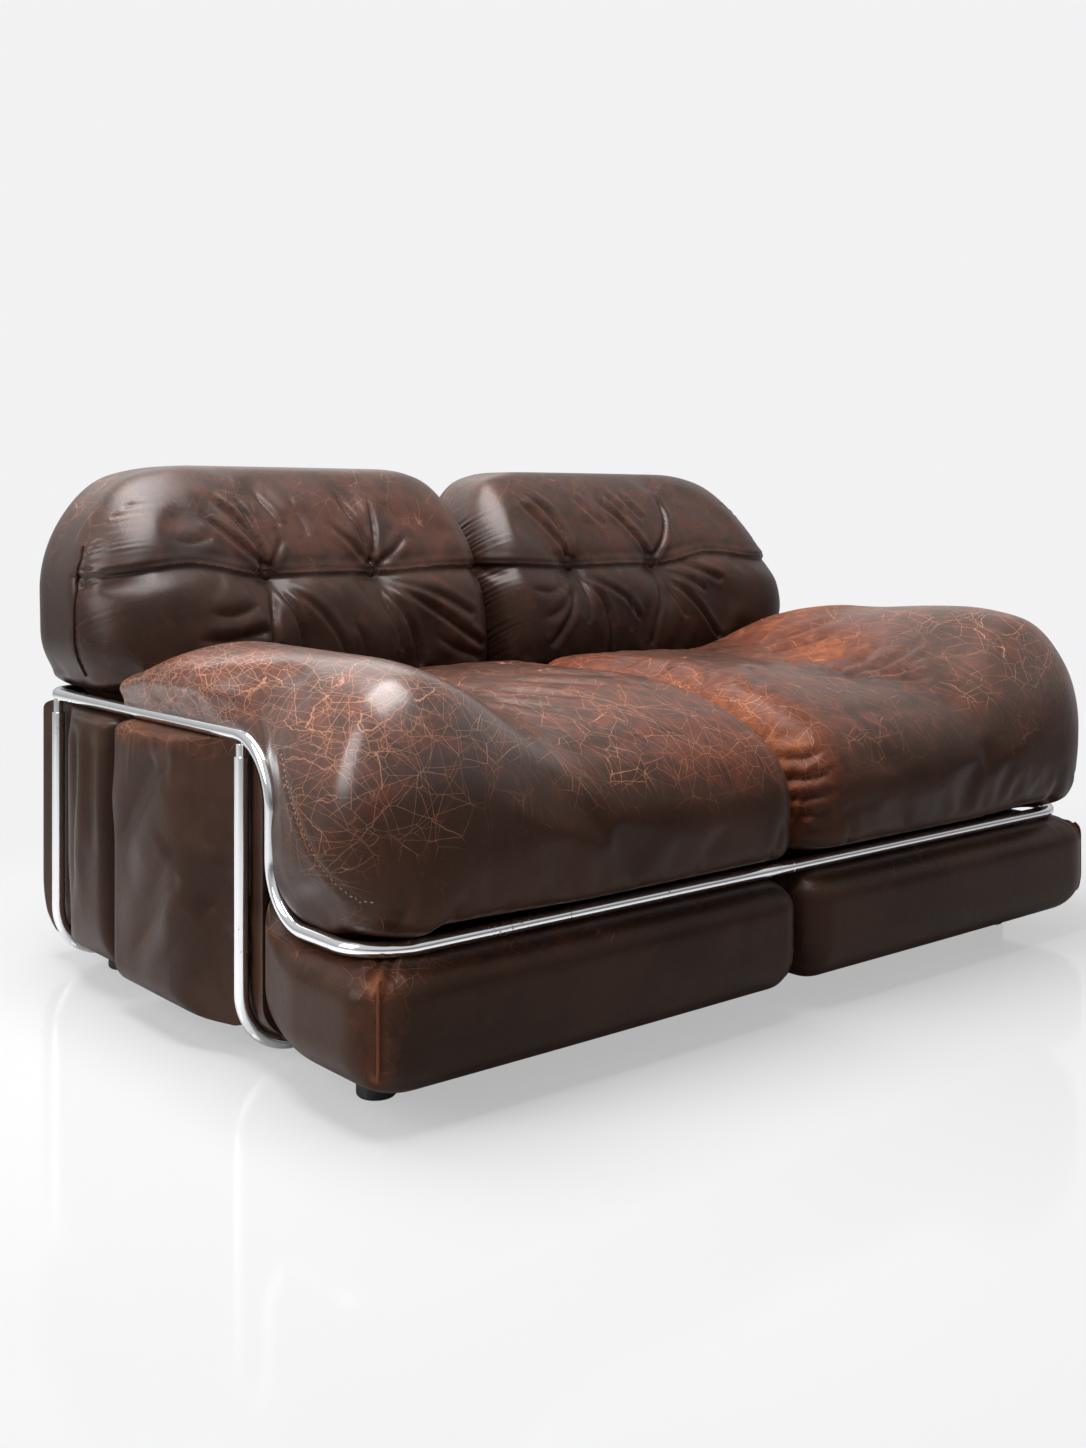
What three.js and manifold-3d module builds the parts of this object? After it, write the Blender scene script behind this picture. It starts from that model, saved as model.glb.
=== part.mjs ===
// Worn two-seat lounge sofa: leather cushions held in a bent chrome tube frame.
// Millimetres, +Z up, floor at z = 0, front towards -Y, left seat towards -X.
// The depth Y is counted from the front tube and moved to the middle at the end.
import * as THREE from 'three';
import Module from 'manifold-3d';

const wasm = await Module();
wasm.setup();

// Driving dimensions of the tube frame
const RAIL_HALF_WIDTH = 740;
const TUBE_RADIUS = 10;
const BORE_RADIUS = 7.6;
const PIN_RADIUS = 7.2;
const FRONT_TUBE_Z = 212;
const RAIL_Z = 443;
const REAR_TUBE_Y = 947;
const REAR_BEND = 45;
const S_BEND_Y = 225;
const UPPER_BEND = 90;
const LOWER_BEND = 80;
const FRONT_BEND = 75;
const FRONT_JOINTS = [-429, 8];
const REAR_JOINT_X = 520;
const FRONT_LEG_Y = 306;
const REAR_LEG_Y = 912;
const HOOP_BEND = 80;
const HOOP_Z = 18;
const LEG_TOP_Z = 414;
const STUB_INSERT = 34;
const STUB_BORE = 38;
const PIN_REACH = 28;
const PIN_BORE = 31;

// Driving dimensions of the soft pieces
const FRONT_FACE_Y = -50;
const OUTER_FACE = RAIL_HALF_WIDTH + 34;
const MIDDLE_GAP = 3;
const BASE_BOTTOM = 38;
const BASE_TOP = 202;
const BASE_OUTER = OUTER_FACE - 6;
const BASE_ROUND = 85;
const BASE_UNDER = 62;
const BASE_TUCK = 22;
const SEAT_DECK = 208;
const SEAT_LIP = 224;
const SEAT_CROWN = 482;
const ARM_CROWN = 547;
const SEAT_REAR = 660;
const ARM_INNER = RAIL_HALF_WIDTH - 100;
const PANEL_FRONT = 240;
const PANEL_REAR = 644;
const PANEL_INNER = RAIL_HALF_WIDTH - 50;
const LOWER_BACK_FRONT = 664;
const BACK_FRONT = 668;
const BACK_REAR = 1003;
const BACK_TOP = 814;
const BACK_OUTER = RAIL_HALF_WIDTH + 26;
const BACK_LEAN = 95;
const ARM_TAIL = 34;
const SEAM_Z = 633;
const BUTTON_RADIUS = 12;
const BUTTON_SEAT_Y = 734;
const LEFT_BUTTONS = [258, 464];
const RIGHT_BUTTONS = [195, 411];

// Driving dimensions of the hidden carcass and the feet
const FRAME_OUTER = RAIL_HALF_WIDTH - 56;
const FRAME_FRONT = 240;
const FRAME_REAR = 632;
const FRAME_TOP = 205;
const FRAME_BOTTOM = 28.4;
const BOARD_THICK = 18;
const STRAP_WIDTH = 60;
const BACK_BOARD_Y = 858;
const BACK_BOARD_TOP = 720;
const BACK_BOARD_OUTER = RAIL_HALF_WIDTH - 50;
const FOOT_RADIUS = 26;
const FOOT_X = RAIL_HALF_WIDTH - 81;
const FOOT_ROWS = [104, 838];
const DEPTH_MIDDLE = 476.5;

const TUBE_SIDES = 10;
const BEND_STEPS = 6;
const FIT = 0.4;

const vec = (x, y, z) => new THREE.Vector3(x, y, z);
const mix = (a, b, t) => a + (b - a) * t;
const clamp = (v, lo, hi) => Math.min(hi, Math.max(lo, v));
const bell = (v, width) => Math.exp(-(v * v) / (2 * width * width));

function smooth(v, from, to) {
  const t = clamp((v - from) / (to - from), 0, 1);
  return t * t * (3 - 2 * t);
}

// One closed body from points and faces, turned the right way out
function solid(points, faces) {
  let volume = 0;
  for (const [a, b, c] of faces) {
    volume += points[a].dot(points[b].clone().cross(points[c]));
  }
  const turned = volume < 0 ? faces.map(([a, b, c]) => [a, c, b]) : faces;
  const geometry = new THREE.BufferGeometry();
  const flat = points.flatMap((p) => [p.x, p.y, p.z]);
  geometry.setAttribute('position', new THREE.Float32BufferAttribute(flat, 3));
  geometry.setIndex(turned.flat());
  return geometry;
}

// Skin over a row of rings with the same count, closed by a fan at each end
function loft(rings) {
  const count = rings[0].length;
  const points = rings.flat();
  const faces = [];
  for (let r = 0; r + 1 < rings.length; r += 1) {
    for (let k = 0; k < count; k += 1) {
      const a = r * count + k;
      const b = r * count + ((k + 1) % count);
      faces.push([a, b, b + count], [a, b + count, a + count]);
    }
  }
  const middle = (ring) => ring.reduce((s, p) => s.add(p), vec(0, 0, 0)).divideScalar(count);
  const first = points.push(middle(rings[0])) - 1;
  const last = points.push(middle(rings[rings.length - 1])) - 1;
  const base = (rings.length - 1) * count;
  for (let k = 0; k < count; k += 1) {
    const next = (k + 1) % count;
    faces.push([first, next, k], [last, base + k, base + next]);
  }
  return solid(points, faces);
}

// Centre line through corners, each rounded by its own bend radius
function bentPath(corners) {
  const path = [];
  corners.forEach(([at, bend], i) => {
    if (!bend) {
      path.push(at.clone());
      return;
    }
    const into = at.clone().sub(corners[i - 1][0]).normalize();
    const out = corners[i + 1][0].clone().sub(at).normalize();
    const turn = into.angleTo(out);
    const side = out.clone().addScaledVector(into, -out.dot(into)).normalize();
    const start = at.clone().addScaledVector(into, -bend * Math.tan(turn / 2));
    for (let s = 0; s <= BEND_STEPS; s += 1) {
      const angle = (turn * s) / BEND_STEPS;
      path.push(
        start.clone()
          .addScaledVector(side, bend * (1 - Math.cos(angle)))
          .addScaledVector(into, bend * Math.sin(angle)),
      );
    }
  });
  return path;
}

function ringAt(centre, normal, binormal, radius) {
  const ring = [];
  for (let k = 0; k < TUBE_SIDES; k += 1) {
    const angle = (2 * Math.PI * (k + 0.5)) / TUBE_SIDES;
    ring.push(
      centre.clone()
        .addScaledVector(normal, radius * Math.cos(angle))
        .addScaledVector(binormal, radius * Math.sin(angle)),
    );
  }
  return ring;
}

// Round tube along a path; a bore depth at an end makes the socket for a pin
function tube(path, radius, startBore = 0, endBore = 0) {
  const rings = [];
  let normal = null;
  path.forEach((point, i) => {
    const before = path[Math.max(i - 1, 0)];
    const after = path[Math.min(i + 1, path.length - 1)];
    const inDir = point.clone().sub(before).normalize();
    const outDir = after.clone().sub(point).normalize();
    const tangent = inDir.add(outDir).normalize();
    if (!normal) {
      const helper = Math.abs(tangent.z) > 0.9 ? vec(1, 0, 0) : vec(0, 0, 1);
      normal = helper;
    }
    normal = normal.clone().addScaledVector(tangent, -normal.dot(tangent)).normalize();
    const binormal = tangent.clone().cross(normal);
    const place = (depth, r) => ringAt(point.clone().addScaledVector(tangent, depth), normal, binormal, r);
    if (i === 0 && startBore) {
      rings.push(place(startBore, BORE_RADIUS), place(0, BORE_RADIUS));
    }
    rings.push(place(0, radius));
    if (i === path.length - 1 && endBore) {
      rings.push(place(0, BORE_RADIUS), place(-endBore, BORE_RADIUS));
    }
  });
  return loft(rings);
}

// Turned body about a vertical axis from a profile of radius and height
function turned(profile, sides) {
  const rings = profile.map(([radius, z]) => {
    const ring = [];
    for (let k = 0; k < sides; k += 1) {
      const angle = (2 * Math.PI * k) / sides;
      ring.push(vec(radius * Math.cos(angle), radius * Math.sin(angle), z));
    }
    return ring;
  });
  return loft(rings);
}

// Stops along one edge of a cushion: some inside each rounded end, the rest between
function stops({ lo, hi, loRadius, hiRadius, inner, loSteps, hiSteps }) {
  const start = lo + loRadius;
  const end = hi - hiRadius;
  const marks = [start, ...inner, end];
  for (let i = 1; i <= loSteps; i += 1) {
    marks.unshift(start - loRadius * Math.tan((Math.PI / 4) * (i / loSteps)));
  }
  for (let i = 1; i <= hiSteps; i += 1) {
    marks.push(end + hiRadius * Math.tan((Math.PI / 4) * (i / hiSteps)));
  }
  return marks;
}

// Evenly spaced stops between two values, ends left out
function between(from, to, count) {
  return Array.from({ length: count }, (unused, i) => mix(from, to, (i + 1) / (count + 1)));
}

// Rounded box with its own radius at every side, then moved point by point
function cushion(axes, reshape) {
  const marks = axes.map(stops);
  const count = marks.map((m) => m.length - 1);
  const points = [];
  const index = new Map();
  const roundOff = (raw) => {
    const base = axes.map(({ lo, hi, loRadius, hiRadius }, a) => clamp(raw[a], lo + loRadius, hi - hiRadius));
    const reach = axes.map(({ loRadius, hiRadius }, a) => (raw[a] < base[a] ? loRadius : hiRadius));
    const away = base.map((b, a) => (raw[a] - b) / reach[a]);
    const size = Math.hypot(...away) || 1;
    return base.map((b, a) => b + (reach[a] * away[a]) / size);
  };
  const pick = (at) => {
    const key = at.join(',');
    if (!index.has(key)) {
      const rounded = roundOff(at.map((i, a) => marks[a][i]));
      index.set(key, points.push(reshape(vec(...rounded))) - 1);
    }
    return index.get(key);
  };
  const faces = [];
  for (let axis = 0; axis < 3; axis += 1) {
    const across = (axis + 1) % 3;
    const along = (axis + 2) % 3;
    for (const end of [0, count[axis]]) {
      for (let i = 0; i < count[across]; i += 1) {
        for (let j = 0; j < count[along]; j += 1) {
          const corner = (di, dj) => {
            const at = [0, 0, 0];
            at[axis] = end;
            at[across] = i + di;
            at[along] = j + dj;
            return pick(at);
          };
          const quad = [corner(0, 0), corner(1, 0), corner(1, 1), corner(0, 1)];
          const loop = end ? quad : quad.reverse();
          faces.push([loop[0], loop[1], loop[2]], [loop[0], loop[2], loop[3]]);
        }
      }
    }
  }
  return solid(points, faces);
}

function axis(lo, hi, loRadius, hiRadius, inner, loSteps = 2, hiSteps = 2) {
  return { lo, hi, loRadius, hiRadius, inner, loSteps, hiSteps };
}

function toManifold(geometry) {
  return new wasm.Manifold(new wasm.Mesh({
    numProp: 3,
    vertProperties: new Float32Array(geometry.attributes.position.array),
    triVerts: new Uint32Array(geometry.index.array),
  }));
}

// Body with the other bodies cut out of it
function cut(geometry, ...tools) {
  let body = toManifold(geometry);
  for (const tool of tools) {
    body = body.subtract(toManifold(tool));
  }
  const mesh = body.getMesh();
  const result = new THREE.BufferGeometry();
  result.setAttribute('position', new THREE.Float32BufferAttribute(mesh.vertProperties, 3));
  result.setIndex([...mesh.triVerts]);
  return result;
}

function box(x0, x1, y0, y1, z0, z1) {
  const points = [];
  for (const x of [x0, x1]) {
    for (const y of [y0, y1]) {
      for (const z of [z0, z1]) {
        points.push(vec(x, y, z));
      }
    }
  }
  const faces = [
    [0, 1, 3], [0, 3, 2], [4, 6, 7], [4, 7, 5], [0, 4, 5], [0, 5, 1],
    [2, 3, 7], [2, 7, 6], [0, 2, 6], [0, 6, 4], [1, 5, 7], [1, 7, 3],
  ];
  return solid(points, faces);
}

// Copy on one side: side -1 is the left seat, side +1 the right one
function onSide(geometry, side) {
  const source = geometry.attributes.position;
  const points = [];
  for (let i = 0; i < source.count; i += 1) {
    points.push(vec(side * source.getX(i), source.getY(i), source.getZ(i)));
  }
  const index = geometry.index.array;
  const faces = [];
  for (let i = 0; i < index.length; i += 3) {
    faces.push([index[i], index[i + 1], index[i + 2]]);
  }
  return solid(points, faces);
}

// Belt tube of one side: joint in the front run, corner, S-bend, rail, rear corner
function sideTubePath(side, frontJoint, gap) {
  const x = side * RAIL_HALF_WIDTH;
  return bentPath([
    [vec(frontJoint + side * gap, 0, FRONT_TUBE_Z), 0],
    [vec(x, 0, FRONT_TUBE_Z), FRONT_BEND],
    [vec(x, S_BEND_Y, FRONT_TUBE_Z), LOWER_BEND],
    [vec(x, S_BEND_Y, RAIL_Z), UPPER_BEND],
    [vec(x, REAR_TUBE_Y, RAIL_Z), REAR_BEND],
    [vec(side * (REAR_JOINT_X + gap), REAR_TUBE_Y, RAIL_Z), 0],
  ]);
}

function hoopPath(y) {
  const x = RAIL_HALF_WIDTH;
  return bentPath([
    [vec(-x, y, LEG_TOP_Z), 0],
    [vec(-x, y, HOOP_Z), HOOP_BEND],
    [vec(x, y, HOOP_Z), HOOP_BEND],
    [vec(x, y, LEG_TOP_Z), 0],
  ]);
}

// Lower edge of the seat's outer side, following the S-bend of the belt tube
function beltEdge(y) {
  const clear = TUBE_RADIUS + 2;
  const lowY = S_BEND_Y - LOWER_BEND;
  const lowZ = FRONT_TUBE_Z + LOWER_BEND;
  const highY = S_BEND_Y + UPPER_BEND;
  const highZ = RAIL_Z - UPPER_BEND;
  const wall = S_BEND_Y - clear;
  if (y <= lowY) {
    return FRONT_TUBE_Z + clear;
  }
  if (y <= wall) {
    return lowZ - Math.sqrt(Math.max(0, (LOWER_BEND - clear) ** 2 - (y - lowY) ** 2));
  }
  if (y < highY) {
    return highZ + Math.sqrt(Math.max(0, (UPPER_BEND + clear) ** 2 - (highY - y) ** 2));
  }
  return RAIL_Z + clear;
}

// Side view of the belt tube's centre line
const beltSide = bentPath([
  [vec(0, -20, FRONT_TUBE_Z), 0],
  [vec(0, S_BEND_Y, FRONT_TUBE_Z), LOWER_BEND],
  [vec(0, S_BEND_Y, RAIL_Z), UPPER_BEND],
  [vec(0, REAR_TUBE_Y, RAIL_Z), 0],
]);

function beltGap(y, z) {
  const at = vec(0, y, z);
  const near = vec(0, 0, 0);
  let gap = Infinity;
  for (let i = 0; i + 1 < beltSide.length; i += 1) {
    new THREE.Line3(beltSide[i], beltSide[i + 1]).closestPointToPoint(at, true, near);
    gap = Math.min(gap, near.distanceTo(at));
  }
  return gap;
}

// Outer side of the seat, drawn in towards the belt tube and full only well away from it
function tucked(u, y, z) {
  const gap = beltGap(y, z);
  const atBend = mix(RAIL_HALF_WIDTH + 2, OUTER_FACE, smooth(gap, 8, 120));
  const atRail = mix(RAIL_HALF_WIDTH + 8, OUTER_FACE - 4, smooth(gap, 10, 60));
  const limit = mix(atBend, atRail, smooth(y, 250, 400));
  const share = Math.max(0, u - ARM_INNER) / (OUTER_FACE - ARM_INNER);
  return Math.min(u, ARM_INNER) + share * (limit - ARM_INNER);
}

// Underside of the seat cushion: a lip over the front tube, then the deck, the arm over the rail
function seatUnder(u, y) {
  const deck = mix(SEAT_LIP, SEAT_DECK, smooth(y, 16, 60));
  const arm = Math.max(deck, beltEdge(y));
  return mix(deck, arm, smooth(u, ARM_INNER, ARM_INNER + 36));
}

// Top of the seat cushion: a crowned seat that rises into the arm pillow
function seatTop(u, y, armRise) {
  const front = 1 - clamp((y - 20) / 250, 0, 1);
  const rear = clamp((y - 500) / 150, 0, 1);
  const hollow = 16 * bell(u - 420, 130) * bell(y - 250, 170);
  const seat = SEAT_CROWN - 55 * front * front - 15 * rear * rear - hollow;
  const armFront = 1 - clamp(y / 160, 0, 1);
  const armRear = clamp((y - 450) / 220, 0, 1);
  const arm = ARM_CROWN + armRise - 25 * armFront * armFront - 60 * armRear ** 1.5;
  return mix(seat, arm, smooth(u, ARM_INNER - 240, ARM_INNER + 10));
}

function seatCushion(armRise, armDent) {
  const height = 260;
  const sideRound = 125;
  const frontRound = 100;
  const flank = OUTER_FACE - sideRound;
  const armFoot = flank - 38;
  const axes = [
    axis(MIDDLE_GAP, OUTER_FACE, 80, sideRound, [...between(MIDDLE_GAP + 80, armFoot, 6), armFoot]),
    axis(FRONT_FACE_Y, SEAT_REAR, frontRound, 40, [90, 146, 186, 211, 238, 272, 318, 400, 510]),
    axis(0, height, 12, 150, between(12, 110, 1)),
  ];
  return cushion(axes, (p) => {
    const fill = p.z / height;
    const low = 0.6 * (1 - smooth(fill, 0.01, 0.1));
    const out = low * Math.min(OUTER_FACE - p.x, sideRound) * smooth(p.x, flank - 150, flank);
    const forward = low * Math.min(p.y - FRONT_FACE_Y, frontRound) * (1 - smooth(p.y, 50, 250));
    const u = p.x + out;
    const y = p.y - forward;
    const dent = armDent * bell(u - (ARM_INNER - 40), 90) * bell(y - 420, 110);
    const pleat = 5 * bell(u - 60, 70) * Math.cos(y / 22) * smooth(y, 20, 90);
    const top = seatTop(u, y, armRise) - dent + pleat * fill;
    const z = mix(seatUnder(u, y), top, fill);
    const tail = ARM_TAIL * smooth(u, PANEL_INNER, RAIL_HALF_WIDTH) * smooth(y, 540, SEAT_REAR);
    return vec(tucked(u, y, z), y + tail, z);
  });
}

// How far the base may rise under the lower arc of the S-bend
function riseUnderBelt(y) {
  const reach = LOWER_BEND + TUBE_RADIUS + 2;
  const back = clamp(y - (S_BEND_Y - LOWER_BEND), 0, reach - 1);
  const arc = FRONT_TUBE_Z + LOWER_BEND - Math.sqrt(reach * reach - back * back);
  return Math.max(0, arc - BASE_TOP);
}

// Front roll of the base under the belt tube, its side rising behind the S-bend
function baseRoll() {
  const axes = [
    axis(MIDDLE_GAP, BASE_OUTER, 50, BASE_ROUND, between(53, BASE_OUTER - BASE_ROUND, 4)),
    axis(FRONT_FACE_Y + 4, FRAME_FRONT - 0.3, 60, 6, [80, 146, 180, 205]),
    axis(BASE_BOTTOM, BASE_TOP, BASE_UNDER, 40, between(100, 162, 1)),
  ];
  return cushion(axes, (p) => {
    const tuck = BASE_TUCK * smooth(p.y, 120, 240) * smooth(p.x, PANEL_INNER, PANEL_INNER + 70);
    const share = (p.z - BASE_BOTTOM) / (BASE_TOP - BASE_BOTTOM);
    const rise = riseUnderBelt(p.y) * smooth(p.x, RAIL_HALF_WIDTH - 45, RAIL_HALF_WIDTH - 15) * share;
    return vec(p.x - tuck, p.y, p.z + rise);
  });
}

// Groove pressed into an outer side by a leg
function pressed(u, y, legY) {
  const gap = Math.abs(y - legY);
  const behind = legY === REAR_LEG_Y && y > legY;
  const bulge = 46 * smooth(gap, 4, 150);
  const limit = RAIL_HALF_WIDTH - TUBE_RADIUS - 2 + (behind ? 0.3 * bulge : bulge);
  return Math.min(u, limit);
}

// Outer side of the base roll's rear end, which the panel meets in front of the leg
function baseSide(z) {
  const under = clamp((BASE_BOTTOM + BASE_UNDER - z) / BASE_UNDER, 0, 1);
  return BASE_OUTER - BASE_TUCK - BASE_ROUND * (1 - Math.sqrt(1 - under * under));
}

// Upholstered panel under the arm, with the soft diagonal folds of its cover
function armPanel() {
  const leg = FRONT_LEG_Y;
  const axes = [
    axis(PANEL_INNER, OUTER_FACE, 16, 30, []),
    axis(PANEL_FRONT, PANEL_REAR, 6, 22, [leg - 24, leg, leg + 24, 390, 460, 530]),
    axis(BASE_BOTTOM + 6, 432, 36, 16, between(80, 416, 3)),
  ];
  const cornerY = S_BEND_Y + UPPER_BEND;
  const cornerZ = RAIL_Z - UPPER_BEND;
  const cornerReach = UPPER_BEND - TUBE_RADIUS - 4;
  return cushion(axes, (p) => {
    const onSkin = smooth(p.x, PANEL_INNER + 20, RAIL_HALF_WIDTH) * smooth(Math.abs(p.y - leg), 40, 100);
    const fold = (5 * Math.cos((p.y + 0.75 * p.z) / 24) - 5) * onSkin;
    const ahead = 1 - smooth(p.y, leg - 16, leg + 4);
    const side = mix(OUTER_FACE, baseSide(p.z), ahead);
    const x = Math.min(pressed(p.x, p.y, leg) + fold, side);
    const dy = p.y - cornerY;
    const dz = p.z - cornerZ;
    const reach = Math.hypot(dy, dz);
    if (dy < 0 && dz > 0 && reach > cornerReach) {
      return vec(x, cornerY + (dy * cornerReach) / reach, cornerZ + (dz * cornerReach) / reach);
    }
    return vec(x, p.y, p.z);
  });
}

// Lower part of the back, below the rail
function lowerBack() {
  const leg = REAR_LEG_Y;
  const axes = [
    axis(MIDDLE_GAP, OUTER_FACE - 6, 40, 60, between(60, PANEL_INNER, 3)),
    axis(LOWER_BACK_FRONT, BACK_REAR - 3, 34, 64, [740, 790, 850, leg]),
    axis(BASE_BOTTOM, 431, 95, 18, between(BASE_BOTTOM + 95, 413, 1)),
  ];
  return cushion(axes, (p) => vec(pressed(p.x, p.y, leg), p.y, p.z));
}

// Tufted front of the back cushion: a seam valley and a dimple at every button
function tuft(u, z, buttons) {
  let depth = 13 * bell(z - SEAM_Z, 15);
  for (const at of buttons) {
    const dx = u - at;
    const dz = z - SEAM_Z;
    const away = Math.hypot(dx, dz);
    const rays = 1 + 0.3 * Math.cos(Math.atan2(dz, dx) * 6) * smooth(away, 0, 30);
    depth += 32 * rays * Math.exp(-away / 46);
  }
  return depth;
}

function backCushion(buttons) {
  const [first, second] = buttons;
  const middle = (first + second) / 2;
  const shoulder = BACK_OUTER - 120;
  const nearGap = (MIDDLE_GAP + 80 + first - 40) / 2;
  const nearEnd = (second + 40 + shoulder) / 2;
  const around = (at) => [at - 40, at, at + 40];
  const across = [nearGap, ...around(first), middle, ...around(second), nearEnd];
  const axes = [
    axis(MIDDLE_GAP, BACK_OUTER, 80, 120, across),
    axis(BACK_FRONT, BACK_REAR, 115, 110, [830]),
    axis(434, BACK_TOP, 26, 190, [540, 596], 2, 3),
  ];
  return cushion(axes, (p) => {
    const low = 0.6 * (1 - smooth(p.z, 436, 470)) * smooth(p.y, 700, 780);
    const u = p.x + low * Math.min(BACK_OUTER - p.x, 120) * smooth(p.x, shoulder - 100, shoulder);
    const onFront = 1 - smooth(p.y, 720, 830);
    const railSide = smooth(u, RAIL_HALF_WIDTH - 40, RAIL_HALF_WIDTH - 16);
    const nearRail = Math.max(railSide, smooth(p.y, 900, 930));
    const lift = nearRail * 19.4 * (1 - smooth(p.z, 440, 520));
    const depth = tuft(u, p.z, buttons) * onFront;
    const rise = clamp((p.z - 500) / 314, 0, 1) ** 1.6;
    const lean = BACK_LEAN * rise * (1 - (p.y - BACK_FRONT) / (BACK_REAR - BACK_FRONT));
    const outerDrop = 70 * clamp((u - shoulder + 106) / 226, 0, 1) ** 2;
    const innerDrop = 60 * clamp((160 - u) / 157, 0, 1) ** 2;
    const arch = (outerDrop + innerDrop) * ((p.z - 434) / 380) ** 2;
    const tuck = 22 * smooth(u, RAIL_HALF_WIDTH - 80, RAIL_HALF_WIDTH) * (1 - smooth(p.z, 450, 550));
    return vec(u - tuck, p.y + depth + lean, p.z + lift - arch);
  });
}

// Leather-covered button, its dome towards the front
function backButton(u, grow) {
  const y = BUTTON_SEAT_Y;
  const r = BUTTON_RADIUS + grow;
  const profile = [[r * 0.8, -grow], [r, 3], [r * 0.86, 7], [r * 0.45, 10 + grow]];
  const dome = turned(profile, 12);
  dome.rotateX(Math.PI / 2);
  dome.translate(u, y, SEAM_Z);
  return dome;
}

const LEATHER = { color: 0x49342c, roughness: 0.42, metalness: 0 };
const CHROME = { color: 0xd8dadd, roughness: 0.12, metalness: 1 };
const STEEL = { color: 0x9a9da0, roughness: 0.4, metalness: 1 };
const PLASTIC = { color: 0x17171a, roughness: 0.55, metalness: 0 };
const WOOD = { color: 0xb08d5f, roughness: 0.75, metalness: 0 };
const WEBBING = { color: 0x8f7a58, roughness: 0.9, metalness: 0 };
const CLOTH = { color: 0x1d1c1b, roughness: 0.95, metalness: 0 };

const sofa = new THREE.Group();
sofa.name = 'worn_leather_sofa';

function add(name, geometry, look) {
  geometry.translate(0, -DEPTH_MIDDLE, 0);
  const mesh = new THREE.Mesh(geometry, new THREE.MeshStandardMaterial(look));
  mesh.name = name;
  sofa.add(mesh);
}

function pinAcross(x, y, z) {
  return tube([vec(x - PIN_REACH, y, z), vec(x + PIN_REACH, y, z)], PIN_RADIUS);
}

// Belt tube in four lengths, with a pin hidden in every joint
const SEAM_GAP = 0.2;
const [leftJoint, rightJoint] = FRONT_JOINTS;
add('left_side_tube', tube(sideTubePath(-1, leftJoint, SEAM_GAP), TUBE_RADIUS, PIN_BORE, PIN_BORE), CHROME);
add('right_side_tube', tube(sideTubePath(1, rightJoint, SEAM_GAP), TUBE_RADIUS, PIN_BORE, PIN_BORE), CHROME);
const frontRun = [vec(leftJoint + SEAM_GAP, 0, FRONT_TUBE_Z), vec(rightJoint - SEAM_GAP, 0, FRONT_TUBE_Z)];
add('front_tube', tube(frontRun, TUBE_RADIUS, PIN_BORE, PIN_BORE), CHROME);
const rearEnd = REAR_JOINT_X - SEAM_GAP;
const rearRun = [vec(-rearEnd, REAR_TUBE_Y, RAIL_Z), vec(rearEnd, REAR_TUBE_Y, RAIL_Z)];
add('rear_tube', tube(rearRun, TUBE_RADIUS, PIN_BORE, PIN_BORE), CHROME);
add('left_front_joint_pin', pinAcross(leftJoint, 0, FRONT_TUBE_Z), STEEL);
add('right_front_joint_pin', pinAcross(rightJoint, 0, FRONT_TUBE_Z), STEEL);
add('left_rear_joint_pin', pinAcross(-REAR_JOINT_X, REAR_TUBE_Y, RAIL_Z), STEEL);
add('right_rear_joint_pin', pinAcross(REAR_JOINT_X, REAR_TUBE_Y, RAIL_Z), STEEL);

// Leg hoops that pass under the sofa, each end plugged on a stub below the rail
add('front_leg_hoop', tube(hoopPath(FRONT_LEG_Y), TUBE_RADIUS, STUB_BORE, STUB_BORE), CHROME);
add('rear_leg_hoop', tube(hoopPath(REAR_LEG_Y), TUBE_RADIUS, STUB_BORE, STUB_BORE), CHROME);

const frontHoopSpace = tube(hoopPath(FRONT_LEG_Y), TUBE_RADIUS + FIT);
const rearHoopSpace = tube(hoopPath(REAR_LEG_Y), TUBE_RADIUS + FIT);

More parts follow.
